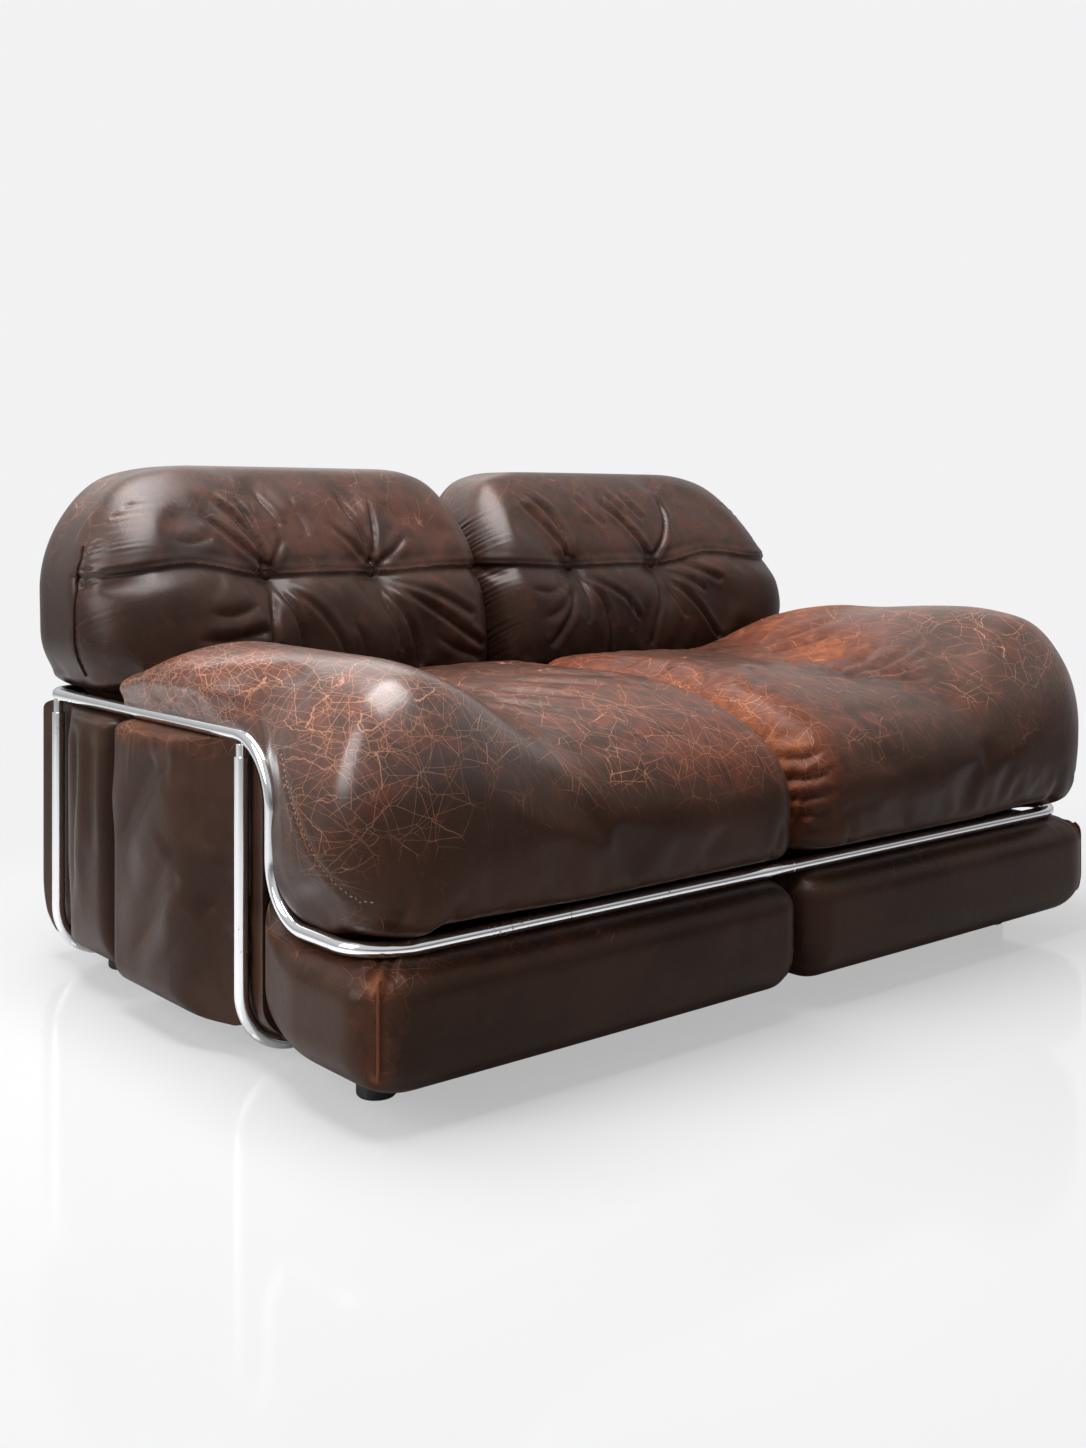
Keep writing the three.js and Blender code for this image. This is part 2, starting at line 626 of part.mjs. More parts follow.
for (const [side, word] of [[-1, 'left'], [1, 'right']]) {
  const right = side > 0;
  const beltSpace = tube(sideTubePath(side, side * 5, 0), TUBE_RADIUS + FIT);
  const buttons = right ? RIGHT_BUTTONS : LEFT_BUTTONS;

  // Stubs between rail and hoops
  const x = side * RAIL_HALF_WIDTH;
  for (const [row, y, top] of [['front', FRONT_LEG_Y, 430.6], ['rear', REAR_LEG_Y, 433.2]]) {
    const stub = tube([vec(x, y, LEG_TOP_Z - STUB_INSERT), vec(x, y, top)], PIN_RADIUS);
    add(`${word}_${row}_leg_stub`, stub, STEEL);
  }

  // Soft pieces
  const seat = onSide(seatCushion(right ? 16 : 0, right ? 20 : 0), side);
  add(`${word}_seat_cushion`, cut(seat, beltSpace), LEATHER);
  add(`${word}_base_roll`, cut(onSide(baseRoll(), side), beltSpace), LEATHER);
  add(`${word}_arm_panel`, cut(onSide(armPanel(), side), frontHoopSpace), LEATHER);
  const slot = box(60, BACK_BOARD_OUTER, BACK_BOARD_Y - FIT, BACK_BOARD_Y + BOARD_THICK + FIT, 0, BACK_BOARD_TOP + FIT);
  const slotHere = onSide(slot, side);
  add(`${word}_lower_back`, cut(onSide(lowerBack(), side), slotHere, rearHoopSpace), LEATHER);
  const wells = buttons.map((u) => onSide(backButton(u, FIT), side));
  add(`${word}_back_cushion`, cut(onSide(backCushion(buttons), side), slotHere, beltSpace, ...wells), LEATHER);
  buttons.forEach((u, i) => {
    const place = (i === 0) === right ? 'left' : 'right';
    add(`${word}_back_${place}_button`, onSide(backButton(u, 0), side), LEATHER);
  });

  // Hidden carcass: seat frame with straps and dust cloth, board in the back
  const frameOut = box(6, FRAME_OUTER, FRAME_FRONT, FRAME_REAR, FRAME_BOTTOM, FRAME_TOP);
  const t = BOARD_THICK;
  const frameIn = box(6 + t, FRAME_OUTER - t, FRAME_FRONT + t, FRAME_REAR - t, 0, FRAME_TOP + 20);
  add(`${word}_seat_frame`, cut(onSide(cut(frameOut, frameIn), side), frontHoopSpace), WOOD);
  const strapAt = [150, 345, 540];
  strapAt.forEach((u, i) => {
    const half = STRAP_WIDTH / 2;
    const strap = box(u - half, u + half, FRAME_FRONT, FRAME_REAR, FRAME_TOP + 0.3, FRAME_TOP + 2.3);
    add(`${word}_webbing_strap_${i + 1}`, onSide(strap, side), WEBBING);
  });
  const edge = t + 0.4;
  const dust = box(6 + edge, FRAME_OUTER - edge, FRAME_FRONT + edge, FRAME_REAR - edge, 32, 33.5);
  add(`${word}_dust_cloth`, onSide(dust, side), CLOTH);
  const board = box(60 + FIT, BACK_BOARD_OUTER - FIT, BACK_BOARD_Y, BACK_BOARD_Y + t, BASE_BOTTOM + 2, BACK_BOARD_TOP);
  add(`${word}_back_board`, onSide(board, side), WOOD);

  // Feet
  for (const [row, y] of [['front', FOOT_ROWS[0]], ['rear', FOOT_ROWS[1]]]) {
    const r = FOOT_RADIUS;
    const foot = turned([[r - 2, 0], [r, 3], [r, 31], [r - 3, BASE_BOTTOM - 0.3]], 16);
    foot.translate(side * FOOT_X, y, 0);
    add(`${word}_${row}_foot`, foot, PLASTIC);
  }
}

export default sofa;
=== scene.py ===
# %% [markdown]
# # A worn two-seat leather sofa in a chrome tube frame
# The CAD model gives every piece its place and size. This lesson dresses it: the soft pieces are grown
# again as fine meshes, settled with Blender's cloth solver and creased, and every finish is made of
# nodes.

# %% Load the frame
import math

import bpy
import numpy as np
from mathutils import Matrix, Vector


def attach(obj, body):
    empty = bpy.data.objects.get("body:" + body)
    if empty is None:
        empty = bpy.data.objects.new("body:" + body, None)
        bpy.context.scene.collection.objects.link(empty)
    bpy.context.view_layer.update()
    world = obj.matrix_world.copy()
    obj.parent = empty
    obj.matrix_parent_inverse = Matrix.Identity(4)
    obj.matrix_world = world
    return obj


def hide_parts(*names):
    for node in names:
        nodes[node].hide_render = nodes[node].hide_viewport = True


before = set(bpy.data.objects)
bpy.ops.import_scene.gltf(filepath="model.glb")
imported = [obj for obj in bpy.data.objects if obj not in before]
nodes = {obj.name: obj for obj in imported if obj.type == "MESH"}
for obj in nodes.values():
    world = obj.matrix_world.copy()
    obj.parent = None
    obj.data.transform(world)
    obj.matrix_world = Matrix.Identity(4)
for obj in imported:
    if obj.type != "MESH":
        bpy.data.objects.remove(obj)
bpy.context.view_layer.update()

# %% [markdown]
# ## Camera
# The photograph was taken level, from the front left, with the horizon above the middle of the picture.
# A level camera with a small downward shift keeps the sofa's legs upright, which a tilted camera would
# not.

# %% Camera
DEPTH_MIDDLE = 476.5
IMAGE_HEIGHT = 1448
FOCAL_PIXELS = 1582.3
HORIZON_PIXEL = 510.0
CAMERA_YAW = 0.6929
CAMERA_AT = (-1780.4, -1578.0, 742.9)


def in_row(points):
    """Millimetres counted from the front tube, as metres in the row frame."""
    moved = np.array(points, float) - (0.0, DEPTH_MIDDLE, 0.0)
    return moved / 1000.0


camera_data = bpy.data.cameras.new("photo_camera")
camera_data.sensor_fit = "VERTICAL"
camera_data.sensor_height = 36.0
camera_data.lens = 36.0 * FOCAL_PIXELS / IMAGE_HEIGHT
camera_data.shift_y = -(IMAGE_HEIGHT / 2 - HORIZON_PIXEL) / IMAGE_HEIGHT
camera = bpy.data.objects.new("photo_camera", camera_data)
bpy.context.scene.collection.objects.link(camera)
camera.location = Vector(in_row(CAMERA_AT))
camera.rotation_euler = (math.radians(90), 0.0, -CAMERA_YAW)
bpy.context.scene.camera = camera
print("lens", round(camera_data.lens, 2), "shift", round(camera_data.shift_y, 4))

# %% [markdown]
# ## Small helpers for numbers and nodes
# The soft forms are written as formulas over many points at once, so numpy does the work. Nodes are
# added through one short function, which keeps each material readable.

# %% Helpers
def smooth(value, start, end):
    """Soft step from 0 at start to 1 at end."""
    t = np.clip((value - start) / (end - start), 0.0, 1.0)
    return t * t * (3.0 - 2.0 * t)


def bell(value, width):
    """Round hump, 1 at value 0 and fading over the given width."""
    return np.exp(-(value * value) / (2.0 * width * width))


def mix(a, b, t):
    return a + (b - a) * t


def add_node(tree, kind, place, **settings):
    made = tree.nodes.new(kind)
    made.location = (place[0] * 200, place[1] * -180)
    for name, value in settings.items():
        setattr(made, name, value)
    return made


def set_inputs(node, **values):
    for name, value in values.items():
        node.inputs[name.replace("_", " ")].default_value = value


def add_math(tree, operation, first, second=None, place=(0, 0), clamp=False):
    made = add_node(tree, "ShaderNodeMath", place, operation=operation, use_clamp=clamp)
    for index, value in enumerate((first, second)):
        if value is None:
            continue
        if isinstance(value, (int, float)):
            made.inputs[index].default_value = value
        else:
            tree.links.new(value, made.inputs[index])
    return made.outputs[0]


def add_mix(tree, factor, first, second, place=(0, 0)):
    made = add_node(tree, "ShaderNodeMix", place, data_type="RGBA")
    for socket, value in ((made.inputs[0], factor), (made.inputs[6], first), (made.inputs[7], second)):
        if isinstance(value, (int, float, tuple)):
            socket.default_value = value
        else:
            tree.links.new(value, socket)
    return made.outputs[2]


def add_step(tree, value, low, high, place=(0, 0), to_min=0.0, to_max=1.0):
    made = add_node(tree, "ShaderNodeMapRange", place, interpolation_type="SMOOTHSTEP")
    tree.links.new(value, made.inputs["Value"])
    set_inputs(made, From_Min=low, From_Max=high, To_Min=to_min, To_Max=to_max)
    return made.outputs["Result"]


def srgb(red, green, blue):
    """Linear colour with alpha from the numbers of a picture editor."""
    def line(v):
        v = v / 255.0
        return v / 12.92 if v <= 0.04045 else ((v + 0.055) / 1.055) ** 2.4
    return (line(red), line(green), line(blue), 1.0)


def new_group(name, inputs, outputs):
    tree = bpy.data.node_groups.new(name, "ShaderNodeTree")
    for label, kind, default in inputs:
        socket = tree.interface.new_socket(label, in_out="INPUT", socket_type=kind)
        socket.default_value = default
    for label, kind in outputs:
        tree.interface.new_socket(label, in_out="OUTPUT", socket_type=kind)
    source = add_node(tree, "NodeGroupInput", (-6, 0))
    target = add_node(tree, "NodeGroupOutput", (8, 0))
    return tree, source, target


def place_group(tree, group, place, **values):
    made = add_node(tree, "ShaderNodeGroup", place)
    made.node_tree = group
    set_inputs(made, **values)
    return made


FLOAT = "NodeSocketFloat"
COLOUR = "NodeSocketColor"
print("helpers ready")

# %% [markdown]
# ## Leather grain
# Real hide has a pebble of one or two millimetres with longer soft lines between. A cell pattern and a
# bent noise give a height for the bump, and a slow noise gives the uneven dye. Every leather here
# shares this group.

# %% Leather grain group
def make_grain_group():
    tree, source, target = new_group(
        "leather_grain", [("Pebble", FLOAT, 620.0)], [("Height", FLOAT), ("Tone", FLOAT)])
    where = add_node(tree, "ShaderNodeTexCoord", (-6, 2)).outputs["Object"]
    pebble = add_node(tree, "ShaderNodeTexVoronoi", (-4, 0), feature="F1")
    tree.links.new(where, pebble.inputs["Vector"])
    tree.links.new(source.outputs["Pebble"], pebble.inputs["Scale"])
    line = add_node(tree, "ShaderNodeTexNoise", (-4, 2))
    set_inputs(line, Scale=95.0, Detail=4.0, Roughness=0.62, Distortion=0.6)
    tree.links.new(where, line.inputs["Vector"])
    slow = add_node(tree, "ShaderNodeTexNoise", (-4, 4))
    set_inputs(slow, Scale=5.5, Detail=5.0, Roughness=0.6, Distortion=0.3)
    tree.links.new(where, slow.inputs["Vector"])
    pebble_height = add_math(tree, "MULTIPLY", pebble.outputs["Distance"], 0.35, (-2, 0))
    line_height = add_math(tree, "MULTIPLY", line.outputs["Fac"], 0.9, (-2, 2))
    height = add_math(tree, "ADD", pebble_height, line_height, (0, 1))
    tree.links.new(height, target.inputs["Height"])
    tree.links.new(add_step(tree, slow.outputs["Fac"], 0.3, 0.7, (-2, 4)), target.inputs["Tone"])
    return tree


grain_group = make_grain_group()
print("group:", grain_group.name)

# %% [markdown]
# ## Craze lines
# Dried leather cracks through its finish in long pale lines that cross each other, with a finer net
# where it bent most. The borders of cells drawn out along one direction are nearly straight lines that
# run that way, so several turned layers of them, broken up by a noise, draw the long cracks and the
# stars where they meet. The mesh sets the amounts.

# %% Craze group
LONG_TURNS = ((0, 0, 18), (0, 0, 63), (0, 0, 108), (0, 0, 152), (35, 62, 0))
FINE_TURNS = ((0, 0, 40), (20, 40, 130))
LONG_CELL = (19.0, 8.0, 19.0)
FINE_CELL = (50.0, 24.0, 50.0)
LONG_WIDTH, FINE_WIDTH = 0.0047, 0.017
JAG_SIZE = 0.004


def crack_layer(tree, where, turn, cell, width, seed, row):
    """Thin borders of cells stretched along their own y direction, from 0 to 1."""
    turned = add_node(tree, "ShaderNodeMapping", (-3, row))
    turned.inputs["Rotation"].default_value = [math.radians(angle) for angle in turn]
    turned.inputs["Location"].default_value = (seed, seed * 1.7, seed * 2.3)
    turned.inputs["Scale"].default_value = cell
    tree.links.new(where, turned.inputs["Vector"])
    cells = add_node(tree, "ShaderNodeTexVoronoi", (-2, row), feature="DISTANCE_TO_EDGE")
    set_inputs(cells, Scale=1.0)
    tree.links.new(turned.outputs["Vector"], cells.inputs["Vector"])
    return add_step(tree, cells.outputs["Distance"], 0.2 * width, width, (0, row), to_min=1.0, to_max=0.0)


def make_craze_group():
    tree, source, target = new_group(
        "leather_craze", [("Amount", FLOAT, 0.5), ("Fine", FLOAT, 0.0)], [("Lines", FLOAT)])
    where = add_node(tree, "ShaderNodeTexCoord", (-9, 2)).outputs["Object"]
    jag = add_node(tree, "ShaderNodeTexNoise", (-8, 3))
    set_inputs(jag, Scale=48.0, Detail=3.0, Roughness=0.6)
    tree.links.new(where, jag.inputs["Vector"])
    centred = add_node(tree, "ShaderNodeVectorMath", (-7, 3), operation="SUBTRACT")
    tree.links.new(jag.outputs["Color"], centred.inputs[0])
    centred.inputs[1].default_value = (0.5, 0.5, 0.5)
    scaled = add_node(tree, "ShaderNodeVectorMath", (-6, 3), operation="SCALE")
    tree.links.new(centred.outputs[0], scaled.inputs[0])
    scaled.inputs["Scale"].default_value = JAG_SIZE
    bent = add_node(tree, "ShaderNodeVectorMath", (-5, 2), operation="ADD")
    tree.links.new(where, bent.inputs[0])
    tree.links.new(scaled.outputs[0], bent.inputs[1])
    gate = add_node(tree, "ShaderNodeTexNoise", (-5, 5))
    set_inputs(gate, Scale=13.0, Detail=3.0, Roughness=0.65)
    tree.links.new(where, gate.inputs["Vector"])
    channels = add_node(tree, "ShaderNodeSeparateColor", (-4, 5))
    tree.links.new(gate.outputs["Color"], channels.inputs[0])
    drawn = []
    plan = [(turn, LONG_CELL, LONG_WIDTH, source.outputs["Amount"]) for turn in LONG_TURNS]
    plan += [(turn, FINE_CELL, FINE_WIDTH, source.outputs["Fine"]) for turn in FINE_TURNS]
    for index, (turn, cell, width, amount) in enumerate(plan):
        line = crack_layer(tree, bent.outputs[0], turn, cell, width, 1.3 + 3.1 * index, index * 2)
        opened = add_math(tree, "ADD", channels.outputs[index % 3], amount, (2, index * 2))
        shown = add_step(tree, opened, 0.78, 1.08, (3, index * 2))
        drawn.append(add_math(tree, "MULTIPLY", line, shown, (4, index * 2)))
    lines = drawn[0]
    for index, layer in enumerate(drawn[1:]):
        lines = add_math(tree, "MAXIMUM", lines, layer, (5, index * 2))
    tree.links.new(lines, target.inputs["Lines"])
    return tree


craze_group = make_craze_group()
print("group:", craze_group.name, "nodes:", len(craze_group.nodes))

# %% [markdown]
# ## Rubbed leather and painted shade
# Where people sit and lean, the dark finish rubs off: first it reddens, then it turns tan. Folds, gaps,
# buttons and faces under other parts get painted shade, a darkening mixed into the colour. This group
# mixes those colours by the masks that the mesh carries, and is shared by all the leathers.

# %% Rubbed leather and painted shade group
def make_rub_and_shade_group():
    tree, source, target = new_group(
        "leather_rub_and_shade",
        [("Dark", COLOUR, srgb(56, 41, 37)), ("Warm", COLOUR, srgb(96, 56, 44)),
         ("Tan", COLOUR, srgb(176, 104, 66)), ("Line", COLOUR, srgb(186, 124, 92)),
         ("Rub", FLOAT, 0.0), ("Lines", FLOAT, 0.0), ("PaintedShade", FLOAT, 0.0), ("Tone", FLOAT, 0.5)],
        [("Color", COLOUR), ("Roughness", FLOAT)])
    where = add_node(tree, "ShaderNodeTexCoord", (-7, 2)).outputs["Object"]
    patch = add_node(tree, "ShaderNodeTexNoise", (-5, 3))
    set_inputs(patch, Scale=26.0, Detail=7.0, Roughness=0.68, Distortion=0.7)
    tree.links.new(where, patch.inputs["Vector"])
    uneven = add_math(tree, "SUBTRACT", patch.outputs["Fac"], 0.5, (-4, 3))
    spread = add_math(tree, "MULTIPLY", uneven, 1.5, (-3, 3))
    ragged = add_math(tree, "ADD", source.outputs["Rub"], spread, (-2, 3))
    warm = add_step(tree, ragged, 0.1, 0.55, (-1, 2))
    tan = add_step(tree, ragged, 0.55, 1.05, (-1, 4))
    gate = add_step(tree, source.outputs["Rub"], 0.0, 0.18, (-1, 6))
    warm_here = add_math(tree, "MULTIPLY", warm, gate, (0, 2))
    tan_here = add_math(tree, "MULTIPLY", tan, gate, (0, 4))
    tone_light = add_node(tree, "ShaderNodeHueSaturation", (1, 0))
    tree.links.new(source.outputs["Dark"], tone_light.inputs["Color"])
    lift = add_step(tree, source.outputs["Tone"], 0.0, 1.0, (0, -1), to_min=0.8, to_max=1.3)
    tree.links.new(lift, tone_light.inputs["Value"])
    reddened = add_mix(tree, warm_here, tone_light.outputs["Color"], source.outputs["Warm"], (2, 1))
    rubbed = add_mix(tree, tan_here, reddened, source.outputs["Tan"], (3, 1))
    cracked = add_mix(tree, source.outputs["Lines"], rubbed, source.outputs["Line"], (4, 1))
    # painted shade: this mask darkens the colour towards a near-black brown where shade falls in folds, gaps
    # and recesses
    dark = add_math(tree, "MULTIPLY", source.outputs["PaintedShade"], 0.75, (3, 3), clamp=True)
    shaded_colour = add_mix(tree, dark, cracked, srgb(22, 15, 13), (5, 1))
    tree.links.new(shaded_colour, target.inputs["Color"])
    worn_rough = add_math(tree, "MULTIPLY", warm_here, 0.1, (3, 5))
    tan_rough = add_math(tree, "MULTIPLY", tan_here, 0.16, (3, 6))
    line_rough = add_math(tree, "MULTIPLY", source.outputs["Lines"], 0.15, (3, 7))
    tone_rough = add_math(tree, "MULTIPLY", source.outputs["Tone"], 0.08, (3, 8))
    total = add_math(tree, "ADD", worn_rough, tan_rough, (4, 5))
    total = add_math(tree, "ADD", total, line_rough, (5, 5))
    total = add_math(tree, "ADD", total, tone_rough, (6, 5))
    rough = add_math(tree, "ADD", total, 0.33, (7, 5))
    tree.links.new(rough, target.inputs["Roughness"])
    return tree


rub_and_shade_group = make_rub_and_shade_group()
print("group:", rub_and_shade_group.name)

# %% [markdown]
# ## The leathers
# One function builds each leather from the three groups. The masks named rub, craze, fine,
# painted_shade and polish are stored on the mesh points, so wear and painted shade sit where the
# photograph shows them and not where a noise happens to fall.

# %% Leather materials
def read_mask(tree, name, place):
    made = add_node(tree, "ShaderNodeAttribute", place, attribute_name=name)
    return made.outputs["Fac"]


def make_leather(name, dark, warm, tan, line, grain_depth, gloss=0.27):
    material = bpy.data.materials.new(name)
    material.use_nodes = True
    tree = material.node_tree
    surface = tree.nodes["Principled BSDF"]
    grain = place_group(tree, grain_group, (-6, 0), Pebble=620.0)
    craze = place_group(tree, craze_group, (-6, 2))
    tree.links.new(read_mask(tree, "craze", (-8, 2)), craze.inputs["Amount"])
    tree.links.new(read_mask(tree, "fine", (-8, 3)), craze.inputs["Fine"])
    rub = place_group(tree, rub_and_shade_group, (-3, 1), Dark=dark, Warm=warm, Tan=tan, Line=line)
    tree.links.new(read_mask(tree, "rub", (-6, 4)), rub.inputs["Rub"])
    # painted shade mask: darkening for folds, gaps and recesses, mixed into the colour
    tree.links.new(read_mask(tree, "painted_shade", (-6, 5)), rub.inputs["PaintedShade"])
    tree.links.new(craze.outputs["Lines"], rub.inputs["Lines"])
    tree.links.new(grain.outputs["Tone"], rub.inputs["Tone"])
    tree.links.new(rub.outputs["Color"], surface.inputs["Base Color"])
    tree.links.new(rub.outputs["Roughness"], surface.inputs["Roughness"])
    bump = add_node(tree, "ShaderNodeBump", (-2, 5))
    set_inputs(bump, Strength=0.55, Distance=grain_depth)
    tree.links.new(grain.outputs["Height"], bump.inputs["Height"])
    tree.links.new(bump.outputs["Normal"], surface.inputs["Normal"])
    polish = add_math(tree, "MULTIPLY", read_mask(tree, "polish", (-4, 8)), 0.95, (-3, 8))
    tree.links.new(polish, surface.inputs["Coat Weight"])
    surface.inputs["Coat Roughness"].default_value = gloss
    surface.inputs["Coat IOR"].default_value = 1.6
    surface.inputs["Specular IOR Level"].default_value = 0.12
    surface.inputs["Specular Tint"].default_value = (1.0, 0.8, 0.72, 1.0)
    return material


seat_leather = make_leather(
    "seat_leather", srgb(64, 41, 31), srgb(102, 56, 41), srgb(146, 84, 54), srgb(186, 128, 98), 0.0011)
back_leather = make_leather(
    "back_leather", srgb(48, 31, 24), srgb(78, 45, 33), srgb(126, 75, 52), srgb(150, 104, 82), 0.0009, 0.33)
base_leather = make_leather(
    "base_leather", srgb(58, 39, 30), srgb(82, 51, 38), srgb(140, 82, 52), srgb(160, 108, 80), 0.0009)
print("leathers:", seat_leather.name, back_leather.name, base_leather.name)

# %% [markdown]
# ## Growing a soft block
# A cushion starts as a box whose edges are rounded by their own radii. The points lie on an even grid,
# which the cloth solver and the subdivision like better than triangles. A formula then moves each point
# to the cushion's form.

# %% Soft block
def edge_marks(lo, hi, lo_round, hi_round, spacing):
    """Grid stops along one edge, denser by angle inside the rounded ends."""
    start, end = lo + lo_round, hi - hi_round
    lo_count = max(3, round(lo_round * 0.8 / spacing))
    hi_count = max(3, round(hi_round * 0.8 / spacing))
    mid_count = max(1, round((end - start) / spacing))
    quarter = math.pi / 4
    low = start - lo_round * np.tan(np.linspace(quarter, 0.0, lo_count + 1))[:-1]
    high = end + hi_round * np.tan(np.linspace(0.0, quarter, hi_count + 1))[1:]
    return np.concatenate([low, np.linspace(start, end, mid_count + 1), high])


def block_grid(edges, spacing):
    """Rounded points and four-sided faces of a box given by three edges."""
    marks = [edge_marks(*edge, spacing) for edge in edges]
    counts = [len(m) - 1 for m in marks]
    quads = []
    for axis in range(3):
        a, b = (axis + 1) % 3, (axis + 2) % 3
        i, j = np.meshgrid(np.arange(counts[a]), np.arange(counts[b]), indexing="ij")
        for end in (0, counts[axis]):
            corners = []
            for step_a, step_b in ((0, 0), (1, 0), (1, 1), (0, 1)):
                at = np.empty(i.shape + (3,), int)
                at[..., axis] = end
                at[..., a] = i + step_a
                at[..., b] = j + step_b
                corners.append(at.reshape(-1, 3))
            quads.append(np.stack(corners if end else corners[::-1], axis=1))
    flat = np.concatenate(quads).reshape(-1, 3)
    key = (flat[:, 0] * (counts[1] + 1) + flat[:, 1]) * (counts[2] + 1) + flat[:, 2]
    unused, first, inverse = np.unique(key, return_index=True, return_inverse=True)
    raw = np.stack([marks[a][flat[first][:, a]] for a in range(3)], axis=1)
    lows = np.array([edge[0] + edge[2] for edge in edges])
    highs = np.array([edge[1] - edge[3] for edge in edges])
    core = np.clip(raw, lows, highs)
    reach = np.where(raw < core, [edge[2] for edge in edges], [edge[3] for edge in edges])
    away = (raw - core) / reach
    size = np.linalg.norm(away, axis=1, keepdims=True)
    points = core + reach * away / np.maximum(size, 1e-9)
    return points, inverse.reshape(-1, 4)


def make_mesh_object(name, points, faces):
    mesh = bpy.data.meshes.new(name)
    mesh.from_pydata([tuple(p) for p in in_row(points)], [], [tuple(int(i) for i in f) for f in faces])
    mesh.shade_smooth()
    made = bpy.data.objects.new(name, mesh)
    bpy.context.scene.collection.objects.link(made)
    return made


def grow(name, side, edges, form, spacing):
    """A soft block on one side; side -1 is the left seat, and u counts outwards from the middle."""
    points, faces = block_grid(edges, spacing)
    points = form(points[:, 0], points[:, 1], points[:, 2])
    points[:, 0] *= side
    if side < 0:
        faces = faces[:, ::-1]
    made = make_mesh_object(name, points, faces)
    made["side"] = side
    return made


def read_points(piece):
    """Points in millimetres, with u counted outwards and y from the front tube, and their outward normals."""
    mesh = piece.data
    flat = np.empty(len(mesh.vertices) * 3)
    mesh.vertices.foreach_get("co", flat)
    points = flat.reshape(-1, 3) * 1000.0 + (0.0, DEPTH_MIDDLE, 0.0)
    normals = np.empty(len(mesh.vertices) * 3)
    mesh.vertex_normals.foreach_get("vector", normals)
    normals = normals.reshape(-1, 3)
    mirror = np.array([piece["side"], 1.0, 1.0])
    return points * mirror, normals * mirror


def write_points(piece, points):
    mirror = np.array([piece["side"], 1.0, 1.0])
    piece.data.vertices.foreach_set("co", in_row(points * mirror).ravel())
    piece.data.update()


def write_mask(piece, name, values):
    mask = piece.data.attributes.new(name, "FLOAT", "POINT")
    mask.data.foreach_set("value", np.clip(values, 0.0, 1.5).astype(np.float32))


print("soft block helpers ready")

# %% [markdown]
# ## Settling with cloth
# A cover sewn a little large and filled with foam swells and buckles. The cloth solver does this: the
# rims and button points are pinned, a light pressure fills the cover, and the slack in its cut gives
# small natural waves.

# %% Settle and refine
def settle(piece, pinned, pressure, slack, reach, frames=12):
    """Runs the cloth on the grid and keeps the result, each point moved by at most reach millimetres."""
    before, unused = read_points(piece)
    pins = piece.vertex_groups.new(name="pins")
    for weight in np.unique(np.round(pinned, 1)):
        chosen = [int(i) for i in np.nonzero(np.round(pinned, 1) == weight)[0]]
        if weight > 0:
            pins.add(chosen, float(weight), "REPLACE")
    cloth = piece.modifiers.new("cover", "CLOTH")
    settings = cloth.settings
    settings.quality = 5
    settings.mass = 0.5
    settings.tension_stiffness = 22
    settings.compression_stiffness = 22
    settings.shear_stiffness = 10
    settings.bending_stiffness = 2.5
    settings.air_damping = 4
    settings.use_pressure = True
    settings.uniform_pressure_force = pressure
    settings.shrink_min = -slack
    settings.vertex_group_mass = "pins"
    settings.effector_weights.gravity = 0.0
    cloth.point_cache.frame_start = 1
    cloth.point_cache.frame_end = frames
    scene = bpy.context.scene
    for number in range(1, frames + 1):
        scene.frame_set(number)
    bpy.context.view_layer.objects.active = piece
    bpy.ops.object.modifier_apply(modifier="cover")
    scene.frame_set(1)
    after, unused = read_points(piece)
    moved = after - before
    length = np.linalg.norm(moved, axis=1, keepdims=True)
    capped = moved * np.minimum(1.0, reach / np.maximum(length, 1e-6))
    write_points(piece, before + capped)
    mean, most = float(length.mean()), float(length.max())
    print(piece.name, "settled, mean move", round(mean, 1), "mm, most", round(most, 1))


def ease(piece, weights, rounds):
    """Evens out the points of one area by repeated smoothing."""
    group = piece.vertex_groups.new(name="ease")
    for index in np.nonzero(weights > 0.05)[0]:
        group.add([int(index)], float(weights[index]), "REPLACE")
    even = piece.modifiers.new("even", "SMOOTH")
    even.factor = 0.5
    even.iterations = rounds
    even.vertex_group = "ease"
    bpy.context.view_layer.objects.active = piece
    bpy.ops.object.modifier_apply(modifier="even")


def refine(piece):
    """One subdivision, applied, so that creases have points to move."""
    finer = piece.modifiers.new("finer", "SUBSURF")
    finer.levels = 1
    finer.render_levels = 1
    bpy.context.view_layer.objects.active = piece
    bpy.ops.object.modifier_apply(modifier="finer")
    piece.data.shade_smooth()


print("settling helpers ready")

# %% [markdown]
# ## Creases and gathers
# A fold in leather is a narrow valley with a soft swell on each side, thinning out at its ends. Each
# fold is a short path drawn on the face of the cushion. Gathers are rows of small folds that run off a
# seam.

# %% Crease tools
def along_path(flat, path):
    """Distance of each point to a path and how far along it lies, from 0 to 1."""
    path = np.array(path, float)
    spans = np.linalg.norm(np.diff(path, axis=0), axis=1)
    total = spans.sum()
    best = np.full(len(flat), 1e9)
    place = np.zeros(len(flat))
    done = 0.0
    for start, end, span in zip(path[:-1], path[1:], spans):
        line = end - start
        t = np.clip(((flat - start) @ line) / max(span * span, 1e-9), 0.0, 1.0)
        gap = np.linalg.norm(flat - (start + t[:, None] * line), axis=1)
        nearer = gap < best
        best = np.where(nearer, gap, best)
        place = np.where(nearer, (done + t * span) / total, place)
        done += span
    return best, place


def bend(path, count=5):
    """A path through the given points, rounded off by a smooth cubic curve."""
    path = np.array(path, float)
    if len(path) < 3:
        return path
    ends = np.vstack([2 * path[0] - path[1], path, 2 * path[-1] - path[-2]])
    out = []
    for a, b, c, d in zip(ends[:-3], ends[1:-2], ends[2:-1], ends[3:]):
        for t in np.linspace(0.0, 1.0, count, endpoint=False):
            out.append(0.5 * (2 * b + (c - a) * t + (2 * a - 5 * b + 4 * c - d) * t * t
                              + (3 * b - a - 3 * c + d) * t ** 3))
    out.append(path[-1])
    return np.array(out)


